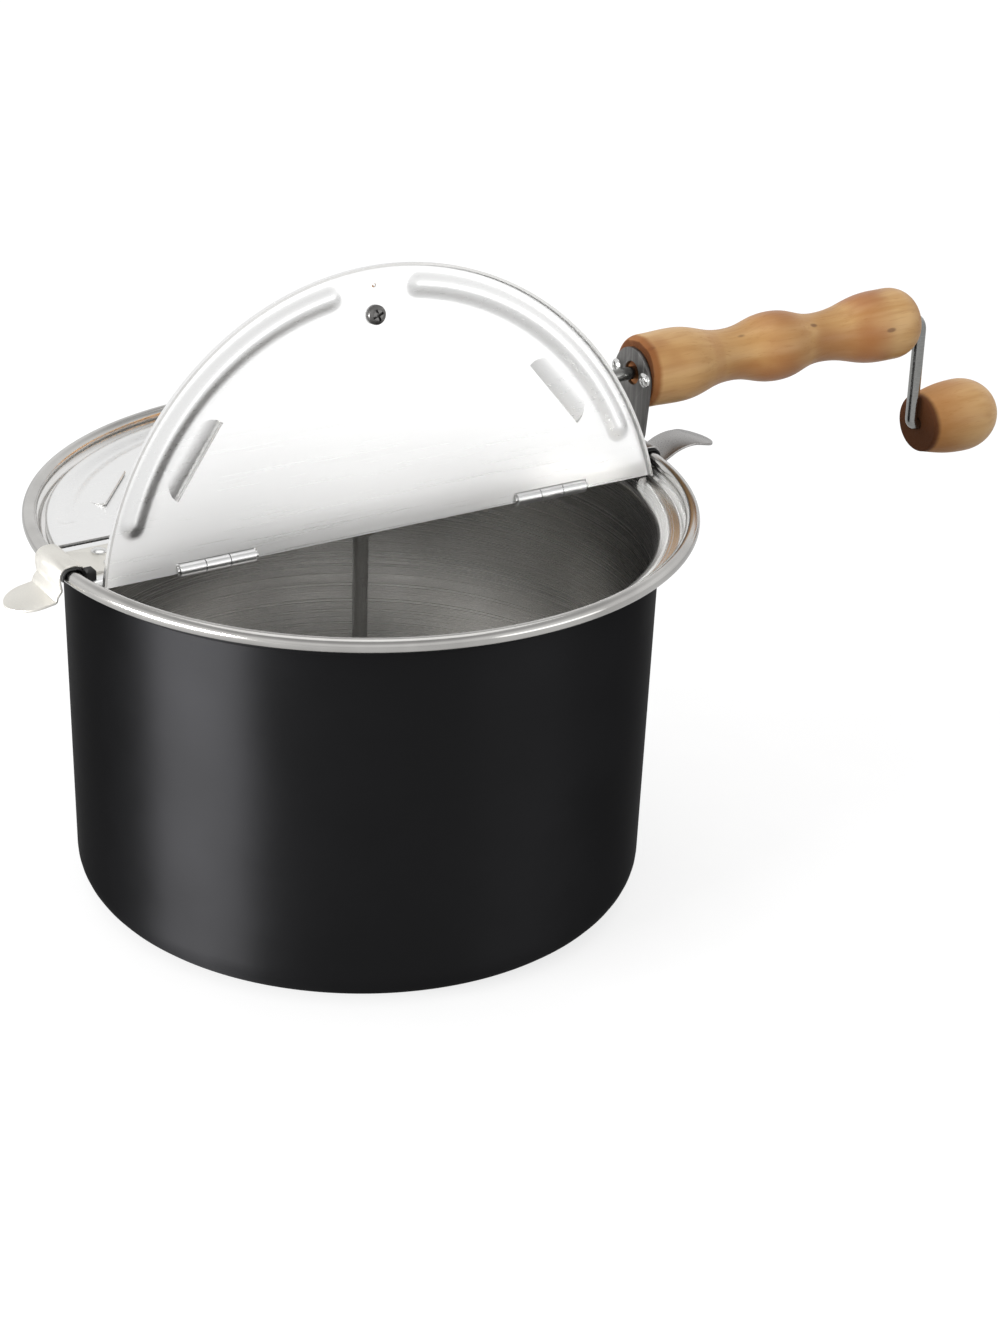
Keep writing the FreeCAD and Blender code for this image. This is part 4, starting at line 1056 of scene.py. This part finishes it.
@dataclass
class Crossbar:
    """The channel across the pot, with the outer hinge eyes, the hinge pins and the rivets. Millimetres."""

    sheet: float = 1.2
    bend: float = 1.5
    half_width: float = 17.3
    end_radius: float = 117.0
    knuckle: Knuckle = Knuckle()
    knuckle_length: float = 10.0
    rivet: Rivet = Rivet()
    edge: float = 0.15

    def build(self) -> None:
        """Bend the channel and put its eyes, pins and rivets on it."""
        self._channel()
        hinge = Vector(joint("back_leaf_hinge")["pos_m"])
        spread = self.knuckle_length * MM
        places = [turned(turn, "Z") @ Matrix.Translation((x * MM + shift, hinge.y, hinge.z)) @ turned(180.0, "Z")
                  for turn in (0.0, 180.0) for x in HINGE_PLACES for shift in (-spread, spread)]
        self.knuckle.fit("crossbar_knuckles", "lid_frame", self.knuckle_length, places)
        dress("bright_steel", "hinge_pins")
        self._rivets()

    def _channel(self) -> None:
        """The bent channel, rounded at both ends to the rim's curve."""
        side = self.half_width - self.sheet / 2
        level = Vector(joint("back_leaf_hinge")["pos_m"]).z / MM
        shaper = Shaper()
        shaper.wire([(-side, SKIRT_BOTTOM, 0.0), (-side, level, self.bend),
                     *((y, level, 0.0) for y in (-12, -6, 0, 6, 12)),
                     (side, level, self.bend), (side, SKIRT_BOTTOM, 0.0)])
        shaper.draw_out(2 * self.end_radius)
        for vert in shaper.bm.verts:
            vert.co.x = copysign(sqrt((self.end_radius * MM) ** 2 - vert.co.y ** 2), vert.co.x)
        channel = seat(shaper.piece("crossbar_channel", [PALETTE["pressed_aluminium"], PALETTE["sheared_edge"]]),
                       "lid_frame", "bright_aluminium", "crossbar")
        wall(channel, self.sheet, rim=1)
        ease(channel, self.edge)

    def _rivets(self) -> None:
        """Turn the rivets, each where the frame has it."""
        for node in ("foot_rivets", "gear_bracket_rivets"):
            rivets = Shaper()
            for low, high in solids(node):
                rivets.absorb(self.rivet.shape(high.z - low.z), [moved(*(low + high) / 2)])
            seat(rivets.piece(node + "_crowned", [PALETTE["bright_steel"]]), "lid_frame", "bright_steel", node)


@dataclass
class Clips:
    """The two spring clips on the rim and the black pieces under them. Millimetres."""

    edge: float = 0.2

    def build(self) -> None:
        """Ease the clips' edges, with painted light on the left clip and painted shade on the right one, and dress the
        black pieces under them.
        """
        # the clips share one steel: the left one's finish holds painted light, the right one's painted shade
        eased_copy("clip_left", "lid_frame", "clip_steel_painted_light", "bright_steel", self.edge)
        eased_copy("clip_right", "lid_frame", "clip_steel_painted_shade", "satin_steel", self.edge)
        dress("black_rubber", "rim_pad_left", "rim_pad_right")


@dataclass
class Handle:
    """The bent plate, the turned grip and its two screws. Millimetres."""

    edge: float = 0.25
    screw: PanScrew = PanScrew(2.9, 1.6, 1.5, 14.0)

    def build(self) -> None:
        """Ease the plate, dress the grip and turn the screws."""
        eased_copy("handle_bracket", "lid_frame", "dark_steel", "dark_steel", self.edge)
        dress("grip_wood", "handle")
        screws = Shaper()
        for low, high in solids("handle_screws"):
            base = moved(low.x + self.screw.head_height, (low.y + high.y) / 2, (low.z + high.z) / 2)
            screws.absorb(self.screw.shape(), [base @ turned(-90.0, "Y")])
        seat(screws.piece("handle_screws_turned", [PALETTE["bright_steel"]], 30.0), "lid_frame", "bright_steel",
             "handle_screws")


@dataclass
class Drive:
    """The crank, the pair of gears under their arch, and the stirring shaft with its wire. Millimetres."""

    bracket_edge: float = 0.25
    tooth_edge: float = 0.1

    def build(self) -> None:
        """Dress the crank, the gears and the stirrer."""
        eased_copy("gear_bracket", "lid_frame", "bracket_steel", "satin_steel", self.bracket_edge)
        eased_copy("drive_gear", "crank", "gear_steel", "satin_steel", self.tooth_edge, 1)
        eased_copy("driven_gear", "stirrer", "gear_steel", "satin_steel", self.tooth_edge, 1)
        dress("bright_steel", "rod_cap", "knob_cap", "drive_gear_pin", "driven_gear_pin", "stirring_shaft",
              "thrust_washer", "shaft_retainer", "stirring_wire", "bush_nut")
        # the crank rod's steel is darkened: painted shade for the dark reflections that it shows
        dress("rod_steel_painted_shade", "crank_rod")
        dress("bracket_steel", "stirrer_hub")
        dress("brass", "shaft_bush")
        dress("knob_wood", "crank_knob")


# --- studio
def towards(bearing: float, rise: float) -> Vector:
    """The direction at a bearing from +X and a rise above the horizon, both in degrees."""
    flat, up = radians(bearing), radians(rise)
    return Vector((cos(flat) * cos(up), sin(flat) * cos(up), sin(up)))


@dataclass(frozen=True)
class Softbox:
    """An oblong lamp that faces the popper from a bearing and a rise."""

    name: str
    bearing: float
    rise: float
    distance: float
    width: float
    height: float
    radiance: float

    def hang(self, aim: Vector) -> None:
        """Place the lamp.

        Args:
            aim: the point that it faces.
        """
        lamp = bpy.data.lights.new(self.name, "AREA")
        lamp.shape = "RECTANGLE"
        lamp.size = self.width
        lamp.size_y = self.height
        lamp.energy = self.radiance * pi * self.width * self.height
        out = towards(self.bearing, self.rise)
        made = placed(self.name, lamp)
        made.location = aim + out * self.distance
        made.rotation_euler = out.to_track_quat("Z", "Y").to_euler()


@dataclass
class Studio:
    """White floor, soft lamps and an even white surround."""

    floor_radius: float = 8.0
    floor_colour: float = 0.30
    floor_glow: float = 0.76
    sky_share: float = 0.7           # of its white that metal shows
    floor_share: float = 0.48        # of its glow that metal shows
    sky_low: float = 0.50            # what lights the popper near the horizon
    sky_high: float = 0.80           # and from above
    sky_mirrored: float = 0.30       # what metal shows of the sky overhead
    aim: Point = (0.0, 0.0, 0.1)     # where the lamps point
    lamps: Tuple[Softbox, ...] = (
        Softbox("strip_softbox", 182.0, 4.0, 1.5, 1.05, 0.36, 40.0),
        Softbox("front_softbox", -57.5, 6.0, 1.9, 1.3, 0.55, 1.25),
        Softbox("top_softbox", 60.0, 78.0, 2.0, 1.6, 1.4, 1.0),
    )

    def build(self) -> None:
        """Lay the floor, hang the lamps and paint the sky."""
        self._floor()
        for lamp in self.lamps:
            lamp.hang(Vector(self.aim))
        self._sky()

    def _shown(self, bench: Bench, share: float) -> Signal:
        """1 for what the camera sees straight, a share for what is mirrored, and 0 for what lights the popper."""
        straight, mirrored = [bench.read("LightPath", None, f"Is {kind} Ray") for kind in ("Camera", "Glossy")]
        return bench.maths("MAXIMUM", straight, mirrored * share)

    def _floor(self) -> None:
        """A round white floor that keeps a soft shadow."""
        shaper = Shaper()
        bmesh.ops.create_circle(shaper.bm, cap_ends=True, segments=96, radius=self.floor_radius)
        bench = Bench(bpy.data.materials.new("white_floor"))
        grain = bench.noise(bench.place(), 40.0, 2.0)
        tone = bench.span(grain, 0.2, 0.8, self.floor_colour - 0.005, self.floor_colour + 0.005)
        strength = self._shown(bench, self.floor_share) * self.floor_glow
        both = bench.read("AddShader", {0: bench.read("BsdfDiffuse", {"Color": tone}),
                                        1: bench.read("Emission", {"Color": WHITE, "Strength": strength})})
        bench.node("OutputMaterial", {"Surface": both})
        shaper.piece("floor", [bench.material])

    def _sky(self) -> None:
        """Light from all round, white where the camera sees it."""
        world = bpy.data.worlds.new("studio_sky")
        bpy.context.scene.world = world
        bench = Bench(world)
        rise = bench.parts(bench.read("TexCoord", output="Generated"))[2]
        light = bench.span(rise, -0.05, 0.6, self.sky_low, self.sky_high)
        mirrored = bench.span(rise, 0.40, 0.85, 1.0, self.sky_mirrored)
        shown = self._shown(bench, self.sky_share)
        strength = light * (1.0 - shown) + mirrored * shown
        bench.node("OutputWorld", {"Surface": bench.read("Background", {"Color": WHITE, "Strength": strength})})


@dataclass
class Camera:
    """The camera: where it stands, what it frames and its slight roll."""

    bearing: float = 240.5
    rise: float = 26.034
    distance: float = 1.1436
    aim: Point = (0.0, 0.0, 0.07718)
    lens: float = 81.02
    sensor: float = 36.0
    near: float = 0.05
    shift: Tuple[float, float] = (0.1058, 0.01344)
    roll: float = 0.681

    def build(self) -> None:
        """Make the camera and put it in use."""
        back, right = towards(self.bearing, self.rise), towards(self.bearing + 90.0, 0.0)
        up = back.cross(right)
        turn = Matrix((right, up, back)).transposed().to_4x4() @ turned(self.roll, "Z")
        lens = bpy.data.cameras.new("camera")
        lens.lens = self.lens
        lens.sensor_width = self.sensor
        lens.shift_x, lens.shift_y = self.shift
        lens.clip_start = self.near
        made = placed("camera", lens)
        made.matrix_world = Matrix.Translation(Vector(self.aim) + back * self.distance) @ turn
        bpy.context.scene.camera = made


def main() -> None:
    """Build the popper's looks and the studio."""
    logging.basicConfig(level=logging.INFO, format="%(name)s: %(message)s")
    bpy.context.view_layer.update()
    bpy.context.scene.view_settings.view_transform = "Standard"
    for builder in (Pot(), Leaf("front"), Leaf("back"), Crossbar(), Clips(), Handle(), Drive(), Studio(), Camera()):
        builder.build()


if __name__ == "__main__":
    main()
